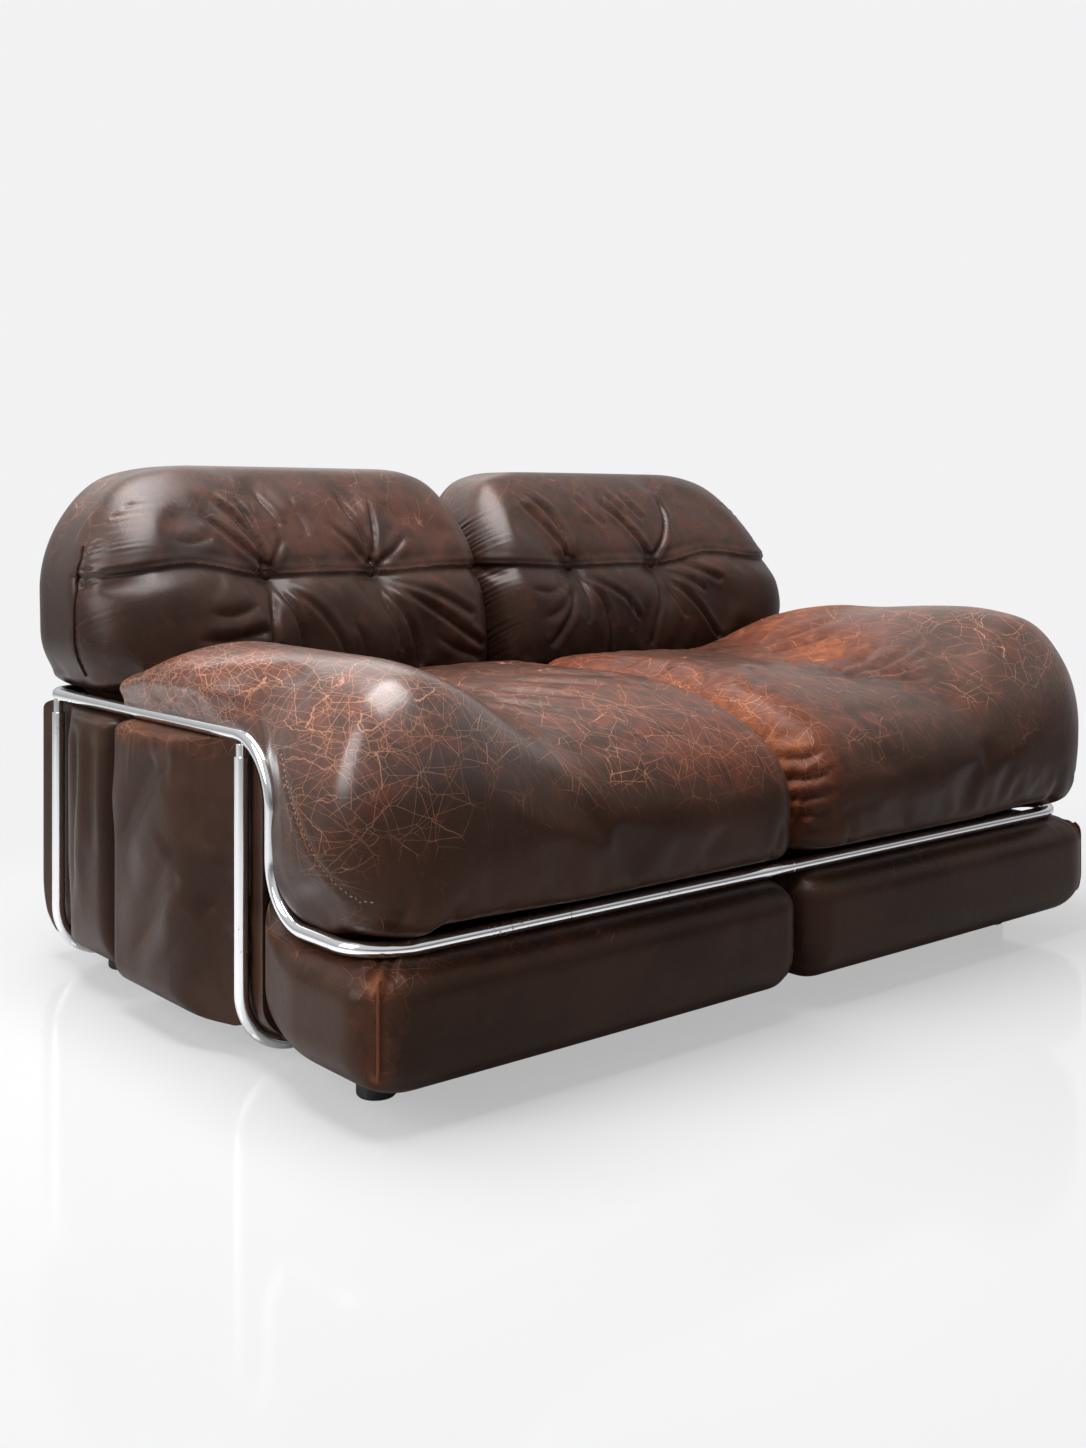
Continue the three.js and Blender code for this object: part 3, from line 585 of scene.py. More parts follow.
def fold(flat, path, width, depth, head=0.12, tail=0.35, swell=0.5):
    """Height change of one fold: a valley with a swell beside it, thinner at head and tail."""
    gap, place = along_path(flat, bend(path))
    taper = smooth(place, 0.0, head) * smooth(1.0 - place, 0.0, tail)
    valley = np.exp(-gap / (0.8 * width))
    shoulder = np.exp(-((gap - 2.0 * width) / (1.3 * width)) ** 2)
    return depth * taper * (swell * shoulder - valley)


def wobble(value, seed):
    """Slow uneven wave between -1 and 1, the same every run."""
    waves = np.sin(value * 0.11 + seed) + np.sin(value * 0.047 + 2.3 * seed)
    return (waves + np.sin(value * 0.023 + 4.1 * seed)) / 3.0


def gathers(along, off, pitch, reach, depth, seed):
    """Rows of small folds that run off a seam; along and off are distances in millimetres."""
    phase = along / pitch * 2.0 * math.pi + 3.6 * wobble(along * 1.3, seed)
    phase = phase + 0.03 * off * wobble(along, seed + 5.0)
    strength = np.clip(0.45 + 0.8 * wobble(along * 2.1, seed + 1.3), 0.05, 1.0)
    length = reach * np.clip(0.6 + 0.7 * wobble(along * 2.9, seed + 2.9), 0.2, 1.3)
    return depth * strength * np.cos(phase) * np.exp(-np.maximum(off, 0.0) / np.maximum(length, 1.0))


print("crease tools ready")

# %% [markdown]
# ## Seat cushions
# Each seat is one thick cushion that rises at its outer side into an arm pillow. Its lower edge follows
# the S-bend of the tube. Formulas close to those of the CAD give the body, and the arm on the right is
# fuller and dented.

# %% Seat form
FRONT_TUBE_Z, RAIL_Z = 212.0, 443.0
RAIL_X = 740.0
INNER_FACE, OUTER_FACE = 3.0, 774.0
ARM_SIDE = 640.0
S_BEND_Y, UPPER_BEND, LOWER_BEND = 225.0, 90.0, 80.0
SEAT_CROWN, ARM_CROWN = 482.0, 547.0
SEAT_FRONT, SEAT_REAR = -50.0, 660.0
SEAT_BLOCK = 260.0


def belt_edge(y):
    """Lower edge of the seat's outer side, pressed on the middle of the S-bend."""
    low_y, low_z = S_BEND_Y - LOWER_BEND, FRONT_TUBE_Z + LOWER_BEND
    high_y, high_z = S_BEND_Y + UPPER_BEND, RAIL_Z - UPPER_BEND
    low_arc = low_z - np.sqrt(np.maximum(0.0, LOWER_BEND ** 2 - (y - low_y) ** 2))
    high_arc = high_z + np.sqrt(np.maximum(0.0, UPPER_BEND ** 2 - (high_y - y) ** 2))
    edge = np.where(y <= low_y, FRONT_TUBE_Z, np.where(y <= S_BEND_Y, low_arc, high_arc))
    return np.where(y >= high_y, RAIL_Z, edge)


BELT_SIDE = [(-20.0, FRONT_TUBE_Z), (S_BEND_Y - LOWER_BEND, FRONT_TUBE_Z)]
for angle in np.linspace(-90.0, 0.0, 9):
    BELT_SIDE.append((S_BEND_Y - LOWER_BEND + LOWER_BEND * math.cos(math.radians(angle)),
                      FRONT_TUBE_Z + LOWER_BEND + LOWER_BEND * math.sin(math.radians(angle))))
for angle in np.linspace(180.0, 90.0, 9):
    BELT_SIDE.append((S_BEND_Y + UPPER_BEND + UPPER_BEND * math.cos(math.radians(angle)),
                      RAIL_Z - UPPER_BEND + UPPER_BEND * math.sin(math.radians(angle))))
BELT_SIDE.append((900.0, RAIL_Z))


def tucked(u, y, z):
    """Outer side drawn in towards the belt tube, and full only well away from it."""
    gap, unused = along_path(np.stack([y, z], axis=1), BELT_SIDE)
    at_bend = mix(RAIL_X + 2.0, OUTER_FACE, smooth(gap, 8.0, 120.0))
    at_rail = mix(RAIL_X + 8.0, OUTER_FACE - 4.0, smooth(gap, 10.0, 60.0))
    limit = mix(at_bend, at_rail, smooth(y, 250.0, 400.0))
    squeezed = ARM_SIDE + (u - ARM_SIDE) * (limit - ARM_SIDE) / (OUTER_FACE - ARM_SIDE)
    return np.where(u > ARM_SIDE, squeezed, u)


def seat_under(u, y):
    """Underside: the deck behind the front lip, and the belt's edge below the arm."""
    front_edge = mix(224.0, 203.0, smooth(u, ARM_SIDE, 730.0))
    deck = mix(front_edge, 208.0, smooth(y, 16.0, 60.0))
    arm = np.maximum(deck, belt_edge(y))
    return mix(deck, arm, smooth(u, ARM_SIDE, 676.0))


def soft_under(u, y):
    """The same lower edge with the S-bend spread out, for the upper part of the cushion."""
    deck = seat_under(np.zeros_like(u), y)
    spread = mix(deck, RAIL_Z, smooth(y, 40.0, 420.0))
    return mix(deck, spread, smooth(u, ARM_SIDE, 676.0))


def seat_top(u, y, arm_rise):
    """Upper side: the sat-in seat, blended into the higher arm pillow."""
    front = 1.0 - np.clip((y - 20.0) / 250.0, 0.0, 1.0)
    rear = np.clip((y - 500.0) / 150.0, 0.0, 1.0)
    hollow = 16.0 * bell(u - 420.0, 130.0) * bell(y - 250.0, 170.0)
    seat = SEAT_CROWN - 55.0 * front ** 2 - 15.0 * rear ** 2 - hollow
    arm_front = 1.0 - np.clip(y / 160.0, 0.0, 1.0)
    arm_rear = np.clip((y - 450.0) / 220.0, 0.0, 1.0)
    arm = ARM_CROWN + arm_rise - 25.0 * arm_front ** 2 - 60.0 * arm_rear ** 1.5
    return mix(seat, arm, smooth(u, 400.0, 650.0))


def seat_form(arm_rise, arm_dent):
    def form(u, y, z):
        fill = z / SEAT_BLOCK
        top = seat_top(u, y, arm_rise) - arm_dent * bell(u - 600.0, 90.0) * bell(y - 420.0, 110.0)
        sag = 12.0 * smooth(u, 680.0, 760.0) * smooth(y, 40.0, 100.0)
        sag = sag * (1.0 - smooth(y, 190.0, 250.0))
        under = mix(seat_under(u, y), soft_under(u, y), smooth(fill, 0.0, 0.5))
        height = mix(under, top, fill) - sag * (1.0 - smooth(fill, 0.05, 0.3))
        lip = (1.0 - smooth(fill, 0.0, 0.24)) ** 2 * (1.0 - smooth(y, 30.0, 110.0))
        u = u - 16.0 * lip * smooth(u, ARM_SIDE, 720.0)
        y = y + 24.0 * lip * (1.0 - smooth(y, -20.0, 80.0))
        tail = 34.0 * smooth(u, 690.0, 740.0) * smooth(y, 540.0, SEAT_REAR)
        crown = 7.0 * smooth(-y, -40.0, 45.0) * (1.0 - ((u - 388.0) / 388.0) ** 2) * bell(fill - 0.45, 0.3)
        return np.stack([tucked(u, y, height), y + tail - crown, height], axis=1)
    return form


SEAT_EDGES = [(INNER_FACE, OUTER_FACE, 80.0, 125.0), (SEAT_FRONT, SEAT_REAR, 100.0, 40.0),
              (0.0, SEAT_BLOCK, 24.0, 150.0)]
SEAT_SPACING = 11.0
seats = {}
for word, side, rise, dent in (("left", -1, 0.0, 0.0), ("right", 1, 16.0, 20.0)):
    seat = grow(f"{word}_seat_cover", side, SEAT_EDGES, seat_form(rise, dent), SEAT_SPACING)
    points, normals = read_points(seat)
    bend_off = np.hypot(points[:, 1] - 250.0, points[:, 2] - 450.0)
    ease(seat, bell(bend_off, 60.0) * smooth(points[:, 0], 600.0, 680.0), 12)
    points, normals = read_points(seat)
    above_edge = points[:, 2] - seat_under(points[:, 0], points[:, 1])
    under = 1.0 - smooth(above_edge, 4.0, 30.0)
    rear = smooth(points[:, 1], 600.0, 650.0)
    settle(seat, np.maximum(under, rear), 0.8, 0.015, 7.0)
    refine(seat)
    seats[word] = seat
    print(seat.name, len(seat.data.vertices), "points")

# %% [markdown]
# ## Creases and wear of the seats
# Sitting has pulled the cover towards the gap between the seats, where it gathers into pleats and has
# lost its finish. The arms are rubbed most on top and at the front corner. The lower front was never
# touched and stays dark and smooth. Painted shade darkens the folds, the gap between the seats and the
# lower outer side.

# %% Seat creases and wear
def crease_seat(word):
    seat = seats[word]
    right = word == "right"
    points, normals = read_points(seat)
    u, y, z = points.T
    topside = smooth(normals[:, 2], 0.15, 0.6)
    plan = np.stack([u, y], axis=1)
    change = np.zeros(len(points))
    seed = 3.7 if right else 1.2
    gap_gather = gathers(y + 0.5 * z, u - 4.0, 24.0, 62.0 if right else 30.0, 4.6 if right else 1.8, seed)
    change += gap_gather * smooth(z, 240.0, 300.0)
    rail_off = np.abs(z - 455.0)
    arm_gather = gathers(y, rail_off, 26.0, 22.0, 1.6, seed + 4.0)
    change += arm_gather * smooth(u, 735.0, 765.0) * smooth(y, 240.0, 330.0)
    folds = [
        ([(250, 150), (300, 220), (330, 300)], 12, 3.0), ([(180, 190), (230, 260), (270, 350)], 13, 3.2),
        ([(330, 120), (370, 190), (380, 260)], 12, 2.6), ([(120, 230), (160, 310), (210, 400)], 14, 2.8),
        ([(420, 150), (450, 230), (430, 320)], 14, 2.6),
    ]
    if right:
        folds += [
            ([(360, 150), (415, 108), (470, 70)], 10, 6.0), ([(368, 165), (430, 132), (496, 100)], 10, 6.0),
            ([(372, 182), (450, 165), (530, 140)], 10, 5.0), ([(366, 205), (430, 220), (510, 215)], 11, 4.0),
            ([(352, 200), (390, 262), (424, 330)], 11, 6.0), ([(336, 205), (346, 275), (378, 350)], 11, 5.0),
            ([(318, 165), (270, 152), (220, 160)], 11, 4.0), ([(420, 420), (480, 390), (540, 330)], 12, 6.0),
            ([(450, 470), (530, 430), (590, 370)], 12, 5.0),
            ([(60, 120), (130, 180), (180, 260)], 12, 4.0), ([(40, 200), (110, 280), (150, 380)], 12, 4.0),
        ]
    for path, width, depth in folds:
        change += fold(plan, path, width, depth) * topside
    if right:
        change -= 15.0 * bell(np.hypot(u - 345.0, y - 168.0), 34.0) * topside
    front = np.stack([u, z], axis=1)
    facing = smooth(-normals[:, 1], 0.3, 0.7)
    for path, width, depth in (
            ([(706, 226), (712, 260), (704, 300)], 9, 5.0), ([(640, 226), (636, 262), (620, 300)], 11, 2.5),
            ([(90, 230), (80, 270), (66, 310)], 9, 3.0)):
        change += fold(front, path, width, depth, head=0.02) * facing
    if right:
        for height in (262, 286, 312, 340, 368, 394):
            bunch = [(5, height), (30, height + 6), (62, height + 20)]
            change += fold(front, bunch, 7, 5.0, head=0.02, tail=0.6) * smooth(-normals[:, 1], 0.0, 0.5)
    if not right:
        seam_gap, unused = along_path(np.stack([y, z], axis=1), SIDE_SEAM)
        onside = smooth(normals[:, 0], 0.15, 0.5)
        change -= 2.2 * np.exp(-(seam_gap / 4.0) ** 2) * onside
        change += 1.2 * np.exp(-((seam_gap - 9.0) / 6.0) ** 2) * onside
    write_points(seat, points + normals * change[:, None])
    wear_seat(seat, right, points, normals, change)


def wear_seat(seat, right, points, normals, change):
    u, y, z = points.T
    high = smooth(z, 300.0, 430.0)
    arm = smooth(u, 520.0, 660.0) * smooth(z, 380.0, 500.0)
    corner = smooth(u, 600.0, 740.0) * (1.0 - smooth(y, 60.0, 220.0)) * smooth(z, 250.0, 330.0)
    gap_edge = np.exp(-np.maximum(u - 4.0, 0.0) / (60.0 if right else 34.0)) * smooth(z, 225.0, 290.0)
    crown = bell(u - 300.0, 220.0) * bell(y - 170.0, 150.0) * high
    if right:
        orange = 0.7 * bell(u - 455.0, 72.0) * bell(y - 330.0, 82.0) * high
        rear_band = 0.5 * bell(y - 520.0, 80.0) * smooth(u, 420.0, 520.0) * high
        rub = 0.16 * high + 0.16 * arm + 0.16 * corner + 0.95 * gap_edge
        rub = rub + orange + rear_band + 0.06 * crown
        craze = 0.3 + 0.1 * high + 0.22 * arm + 0.15 * gap_edge
        fine = 0.12 + 0.22 * arm + 0.3 * orange + 0.2 * corner
    else:
        outer = smooth(u, 640.0, 720.0) * smooth(y, 150.0, 330.0) * smooth(z, 440.0, 480.0)
        front_patch = 0.3 * bell(u - 130.0, 110.0) * bell(z - 380.0, 55.0)
        rub = 0.14 * high + 0.08 * arm + 0.12 * corner + 0.3 * gap_edge
        rub = rub + 0.16 * outer + 0.14 * crown + front_patch
        craze = 0.3 + 0.1 * high + 0.3 * arm + 0.25 * corner + 0.1 * crown + 0.4 * front_patch
        fine = 0.1 + 0.16 * arm + 0.22 * corner + 0.3 * outer
    low_front = smooth(-normals[:, 1], 0.4, 0.8) * (1.0 - smooth(z, 300.0, 390.0))
    keep = 1.0 - 0.8 * low_front * (1.0 - corner)
    write_mask(seat, "rub", rub * keep)
    write_mask(seat, "craze", craze * (1.0 - 0.5 * low_front))
    write_mask(seat, "fine", fine * keep)
    shine = mix(0.4, 1.0, smooth(u, 400.0, 600.0)) * smooth(z, 330.0, 450.0)
    write_mask(seat, "polish", (0.06 + shine) * (1.0 - 0.85 * smooth(rub, 0.25, 0.8)))
    # painted shade: the lower outer side of the seat is darkened in the colour, as if turned away from the
    # light
    flank = smooth(normals[:, 0], 0.4, 0.85) * (1.0 - smooth(z, 390.0, 480.0))
    # painted shade in the narrow gap between the two seats
    gap_shade = 0.7 * np.exp(-np.maximum(u - 3.0, 0.0) / 9.0)
    # painted shade in the fold valleys, plus the gap and the lower side, stored as one mask
    write_mask(seat, "painted_shade", smooth(-change, 1.0, 5.0) * 0.5 + gap_shade + 0.35 * flank)


SIDE_SEAM = [(167.0, 437.0), (119.0, 384.0), (77.0, 342.0), (38.0, 306.0), (1.0, 277.0), (-30.0, 262.0)]
for word in seats:
    crease_seat(word)
    seats[word].data.materials.append(seat_leather)
print("seats creased:", [len(s.data.polygons) for s in seats.values()])

# %% [markdown]
# ## Back cushions
# A back is a tall pillow that leans away towards its top. A lapped seam runs across it, and two buttons
# pull it in, so that pleats fan out from each button. Beside the end seam the cover is gathered into
# short puckers.

# %% Back form
SEAM_Z = 633.0
END_SEAM_U, END_SEAM_Y = 775.0, 782.0
BACK_BUTTONS = {"left": (258.0, 464.0), "right": (195.0, 411.0)}
BACK_FRONT, BACK_REAR = 668.0, 1003.0
BACK_OUTER = 766.0
BACK_BOTTOM, BACK_TOP = 434.0, 814.0
BACK_EDGES = [(INNER_FACE, BACK_OUTER, 80.0, 120.0), (BACK_FRONT, BACK_REAR, 115.0, 110.0),
              (BACK_BOTTOM, BACK_TOP, 26.0, 190.0)]
BACK_SPACING = 14.0


def seam_line(u, buttons):
    """Height of the cross seam: lowest at the buttons, rising towards both ends."""
    inner, outer = buttons
    out_rise = 22.0 * smooth(u, outer, outer + 150.0) - 14.0 * smooth(u, outer + 150.0, outer + 300.0)
    in_rise = 8.0 * smooth(inner - u, 0.0, 160.0)
    between = 3.0 * bell(u - (inner + outer) / 2.0, 50.0)
    return SEAM_Z + out_rise + in_rise + between


def tuft_depth(u, z, buttons):
    """How far the front is pulled in along the seam and at the buttons."""
    line = seam_line(u, buttons)
    depth = 12.0 * bell(z - line, 15.0)
    for at in buttons:
        away = np.hypot(u - at, z - SEAM_Z)
        depth = depth + 32.0 * np.exp(-away / 44.0)
    return depth


def back_form(buttons, end_fill):
    def form(u, y, z):
        low = 0.6 * (1.0 - smooth(z, 436.0, 470.0)) * smooth(y, 700.0, 780.0)
        u = u + low * np.minimum(BACK_OUTER - u, 120.0) * smooth(u, 546.0, 646.0)
        on_front = 1.0 - smooth(y, 720.0, 830.0)
        near_rail = np.maximum(smooth(u, 700.0, 724.0), smooth(y, 900.0, 930.0))
        lift = near_rail * 19.4 * (1.0 - smooth(z, 440.0, 520.0))
        rise = np.clip((z - 500.0) / (BACK_TOP - 500.0), 0.0, 1.0) ** 1.6
        lean = 95.0 * rise * (1.0 - (y - BACK_FRONT) / (BACK_REAR - BACK_FRONT))
        depth = tuft_depth(u, z, buttons) * on_front
        crown = 8.0 * on_front * bell(z - 550.0, 60.0) * bell(u - 375.0, 240.0)
        outer_drop = 70.0 * np.clip((u - 540.0) / 226.0, 0.0, 1.0) ** 2
        inner_drop = 60.0 * np.clip((160.0 - u) / 157.0, 0.0, 1.0) ** 2
        arch = (outer_drop + inner_drop) * ((z - BACK_BOTTOM) / (BACK_TOP - BACK_BOTTOM)) ** 2
        tuck = 22.0 * smooth(u, 660.0, 740.0) * (1.0 - smooth(z, 450.0, 550.0))
        plump = end_fill * smooth(u, 540.0, 740.0) * bell(z - 570.0, 95.0) * smooth(z, 450.0, 520.0)
        depth_place = y + depth + lean - crown - plump * on_front
        return np.stack([u - tuck + plump, depth_place, z + lift - arch], axis=1)
    return form


backs = {}
for word, side, end_fill in (("left", -1, 0.0), ("right", 1, 18.0)):
    buttons = BACK_BUTTONS[word]
    back = grow(f"{word}_back_cover", side, BACK_EDGES, back_form(buttons, end_fill), BACK_SPACING)
    points, normals = read_points(back)
    u, y, z = points.T
    tight = 1.0 - smooth(z, 448.0, 480.0)
    for at in buttons:
        near = np.hypot(u - at, z - SEAM_Z)
        tight = np.maximum(tight, (1.0 - smooth(near, 12.0, 40.0)) * (y < 800.0))
    sewn = bell(z - seam_line(u, buttons), 7.0) * (y < 790.0) * 0.8
    settle(back, np.clip(np.maximum(tight, sewn), 0.0, 1.0), 0.15, 0.025, 4.0)
    refine(back)
    refine(back)
    backs[word] = back
    print(back.name, len(back.data.vertices), "points")

# %% [markdown]
# ## Pleats, puckers and wear of the backs
# The folds are drawn one by one as they lie in the photograph: steep ones above the buttons, long ones
# that sweep down and outwards below. The lapped seam gets a lip, and the end seam a piped welt. Painted
# shade darkens the folds, the buttons and the groove under the seam.

# %% Back pleats
LEFT_PLEATS = [
    ([(576, 745), (530, 705), (490, 670), (468, 646)], 8, 7.0),
    ([(545, 772), (505, 728), (478, 682), (467, 648)], 8, 9.0),
    ([(500, 766), (482, 722), (471, 684), (464, 648)], 7, 8.0),
    ([(462, 776), (440, 742), (428, 716)], 7, 4.5),
    ([(306, 776), (277, 722), (264, 682), (258, 648)], 8, 8.5),
    ([(238, 772), (240, 724), (249, 682), (257, 648)], 7, 8.5),
    ([(338, 724), (292, 682), (264, 648)], 8, 6.0),
    ([(176, 704), (216, 668), (250, 646)], 8, 4.5),
    ([(430, 700), (446, 668), (460, 648)], 8, 5.0),
    ([(400, 770), (386, 730), (380, 700)], 9, 3.0),
    ([(463, 618), (470, 590), (478, 560), (482, 526)], 8, 7.0),
    ([(457, 618), (440, 588), (428, 550), (420, 505)], 7, 8.0),
    ([(452, 620), (418, 602), (384, 570), (352, 520), (338, 480)], 8, 7.0),
    ([(330, 560), (308, 520), (296, 470)], 9, 4.0),
    ([(253, 618), (232, 590), (212, 550), (196, 505), (190, 470)], 8, 8.0),
    ([(248, 622), (204, 600), (146, 562), (86, 522), (44, 500)], 9, 10.0),
    ([(244, 626), (194, 612), (132, 590), (72, 556)], 9, 6.5),
    ([(256, 616), (252, 580), (238, 540), (232, 500)], 7, 5.0),
    ([(170, 530), (120, 500), (60, 478)], 9, 5.0),
    ([(600, 582), (550, 574), (500, 590)], 13, 5.0),
    ([(626, 540), (560, 536), (488, 548)], 12, 6.0),
    ([(640, 700), (600, 690), (560, 700)], 11, 2.5),
]
RIGHT_PLEATS = [
    ([(97, 776), (140, 724), (172, 684), (190, 648)], 8, 9.0),
    ([(122, 782), (168, 740), (188, 690), (194, 648)], 8, 9.0),
    ([(290, 770), (340, 730), (376, 690), (406, 648)], 8, 7.5),
    ([(367, 780), (392, 748), (412, 724)], 8, 5.0),
    ([(472, 780), (472, 730), (446, 684), (416, 648)], 8, 8.0),
    ([(240, 776), (270, 738), (296, 712)], 9, 4.0),
    ([(330, 780), (352, 752), (366, 730)], 8, 4.0),
    ([(470, 640), (520, 622), (572, 600)], 9, 7.0),
    ([(424, 624), (476, 606), (520, 580)], 8, 5.0),
    ([(188, 618), (168, 570), (130, 520), (100, 490)], 9, 7.0),
    ([(204, 618), (226, 596), (248, 545), (252, 450)], 7, 9.0),
    ([(206, 622), (252, 602), (300, 570), (330, 530)], 8, 6.0),
    ([(200, 616), (206, 580), (196, 530)], 8, 4.0),
    ([(418, 618), (452, 590), (500, 540), (552, 482)], 8, 8.5),
    ([(414, 616), (432, 580), (452, 530)], 8, 6.0),
    ([(408, 616), (398, 580), (372, 530), (360, 480)], 8, 5.0),
    ([(300, 600), (308, 560), (300, 510)], 9, 3.0),
    ([(60, 600), (110, 590), (150, 600)], 10, 3.5),
    ([(80, 540), (130, 556), (170, 590)], 10, 4.0),
]
# middle and width across, middle and width upwards
WORN_SPOT = {"left": (120.0, 60.0, 690.0, 50.0), "right": (560.0, 70.0, 670.0, 40.0)}


def crease_back(word, pleats):
    back = backs[word]
    buttons = BACK_BUTTONS[word]
    points, normals = read_points(back)
    u, y, z = points.T
    face = np.stack([u, z], axis=1)
    facing = smooth(-normals[:, 1] + 0.35 * normals[:, 2], 0.1, 0.45) * (y < 880.0)
    change = np.zeros(len(points))
    for path, width, depth in pleats:
        change += fold(face, path, 0.72 * width, 0.85 * depth, head=0.3, tail=0.03, swell=0.4) * facing
    line = z - seam_line(u, buttons)
    lip = 3.2 * smooth(line, -2.0, 3.0) * (1.0 - smooth(line, 6.0, 26.0)) - 1.6 * bell(line + 4.0, 4.0)
    change += lip * facing
    change -= 1.3 * bell(line - 8.0, 2.2) * facing
    on_end = smooth(normals[:, 0], 0.05, 0.5)
    welt = -0.9 * bell(y - END_SEAM_Y + 6.0, 4.0) - 0.8 * bell(y - END_SEAM_Y - 6.0, 4.0)
    welt = welt * (1.0 - smooth(z, 690.0, 720.0))
    end_gather = gathers(z + 0.35 * y, END_SEAM_Y - y, 13.0, 36.0, 3.2, 2.2) * (y < END_SEAM_Y - 2.0)
    change += (welt + end_gather * (0.4 + 0.6 * smooth(z, 520.0, 640.0))) * on_end * smooth(z, 470.0, 520.0)
    gap_gather = gathers(z + 0.6 * y, u - 6.0, 13.0, 26.0, 2.4 if word == "right" else 1.8, 5.1)
    change += gap_gather * (1.0 - smooth(u, 40.0, 120.0)) * (y < 900.0)
    write_points(back, points + normals * change[:, None])
    # painted shade: darker colour in the fold valleys, at the sunken buttons and in the groove under the seam
    # lip
    painted_shade = 0.75 * smooth(-change, 2.0, 8.0)
    for at in buttons:
        painted_shade = np.maximum(painted_shade, 0.9 * bell(np.hypot(u - at, z - SEAM_Z), 15.0) * facing)
    painted_shade = np.maximum(painted_shade, 0.6 * bell(line + 3.0, 3.0) * facing)
    crest = smooth(z, 660.0, 760.0) * (y < 930.0)
    middle = bell(u - (buttons[0] + buttons[1]) / 2.0, 110.0) * bell(z - 690.0, 40.0)
    spot_u, spot_wide, spot_z, spot_tall = WORN_SPOT[word]
    spot = bell(u - spot_u, spot_wide) * bell(z - spot_z, spot_tall)
    rub = 0.12 + 0.16 * crest + 0.3 * middle + 0.3 * spot + 0.25 * smooth(change, 2.5, 6.0)
    write_mask(back, "rub", rub)
    write_mask(back, "craze", 0.16 + 0.2 * crest + 0.12 * on_end)
    write_mask(back, "fine", 0.1 * crest)
    write_mask(back, "painted_shade", painted_shade)
    write_mask(back, "polish", 0.2 + 0.4 * smooth(z, 560.0, 700.0))
    back.data.materials.append(back_leather)
    print(back.name, "folds:", len(pleats), "deepest", round(float(change.min()), 1), "mm")


crease_back("left", LEFT_PLEATS)
crease_back("right", RIGHT_PLEATS)

# %% [markdown]
# ## Base rolls, arm panels and lower backs
# Below the tube the sofa is plainer: a firm front roll, a slack panel under each arm that hangs in
# diagonal folds between the legs, and the foot of the back. The legs press grooves into them.

# %% Lower forms
FRONT_LEG_Y, REAR_LEG_Y = 306.0, 912.0
BASE_TUCK = 22.0
BASE_OUTER = 768.0
BASE_BOTTOM, BASE_TOP = 38.0, 202.0
BASE_ROUND, BASE_UNDER = 85.0, 62.0
LEG_BEND_U, LEG_BEND_Z, LEG_BEND_CLEAR = 660.0, 98.0, 67.0


def pressed(u, y, leg):
    """Outer side pushed in where a leg stands against it."""
    gap = np.abs(y - leg)
    bulge = 46.0 * smooth(gap, 4.0, 150.0)
    bulge = np.where((y > leg) & (leg == REAR_LEG_Y), 0.3 * bulge, bulge)
    return np.minimum(u, 728.0 + bulge)


def clear_of_bend(u, y, z, leg):
    """Pushes points off the inside of the bend at the foot of a leg."""
    near = 1.0 - smooth(np.abs(y - leg), 10.0, 26.0)
    du, dz = u - LEG_BEND_U, z - LEG_BEND_Z
    away = np.hypot(du, dz)
    inside = (du > 0.0) & (dz < 0.0) & (away > LEG_BEND_CLEAR)
    scale = np.where(inside, LEG_BEND_CLEAR / np.maximum(away, 1e-6), 1.0)
    keep = 1.0 + (scale - 1.0) * near
    return LEG_BEND_U + du * keep, LEG_BEND_Z + dz * keep


def roll_form(u, y, z):
    tuck = BASE_TUCK * smooth(y, 120.0, 240.0) * smooth(u, 690.0, 760.0)
    crown = 5.0 * smooth(-y, -10.0, 40.0) * (1.0 - ((u - 385.0) / 385.0) ** 2)
    reach = LOWER_BEND + 12.0
    back = np.clip(y - (S_BEND_Y - LOWER_BEND), 0.0, reach - 1.0)
    arc = FRONT_TUBE_Z + LOWER_BEND - np.sqrt(reach ** 2 - back ** 2)
    rise = np.maximum(0.0, arc - BASE_TOP) * smooth(u, 695.0, 725.0)
    rise = rise * (z - BASE_BOTTOM) / (BASE_TOP - BASE_BOTTOM)
    return np.stack([u - tuck, y - crown, z + rise], axis=1)


def base_side(z):
    """Outer side of the base roll's rear end, which the panel meets in front of the leg."""
    under = np.clip((BASE_BOTTOM + BASE_UNDER - z) / BASE_UNDER, 0.0, 1.0)
    return BASE_OUTER - BASE_TUCK - BASE_ROUND * (1.0 - np.sqrt(1.0 - under * under))


def panel_form(u, y, z):
    ahead = 1.0 - smooth(y, FRONT_LEG_Y - 16.0, FRONT_LEG_Y + 4.0)
    out = np.minimum(pressed(u, y, FRONT_LEG_Y), mix(OUTER_FACE, base_side(z), ahead))
    corner_y, corner_z, reach = S_BEND_Y + UPPER_BEND, RAIL_Z - UPPER_BEND, UPPER_BEND - 14.0
    dy, dz = y - corner_y, z - corner_z
    away = np.hypot(dy, dz)
    beyond = (dy < 0.0) & (dz > 0.0) & (away > reach)
    scale = np.where(beyond, reach / np.maximum(away, 1e-6), 1.0)
    out, low = clear_of_bend(out, corner_y + dy * scale, corner_z + dz * scale, FRONT_LEG_Y)
    return np.stack([out, corner_y + dy * scale, low], axis=1)


def lower_back_form(u, y, z):
    out, low = clear_of_bend(pressed(u, y, REAR_LEG_Y), y, z, REAR_LEG_Y)
    return np.stack([out, y, low], axis=1)


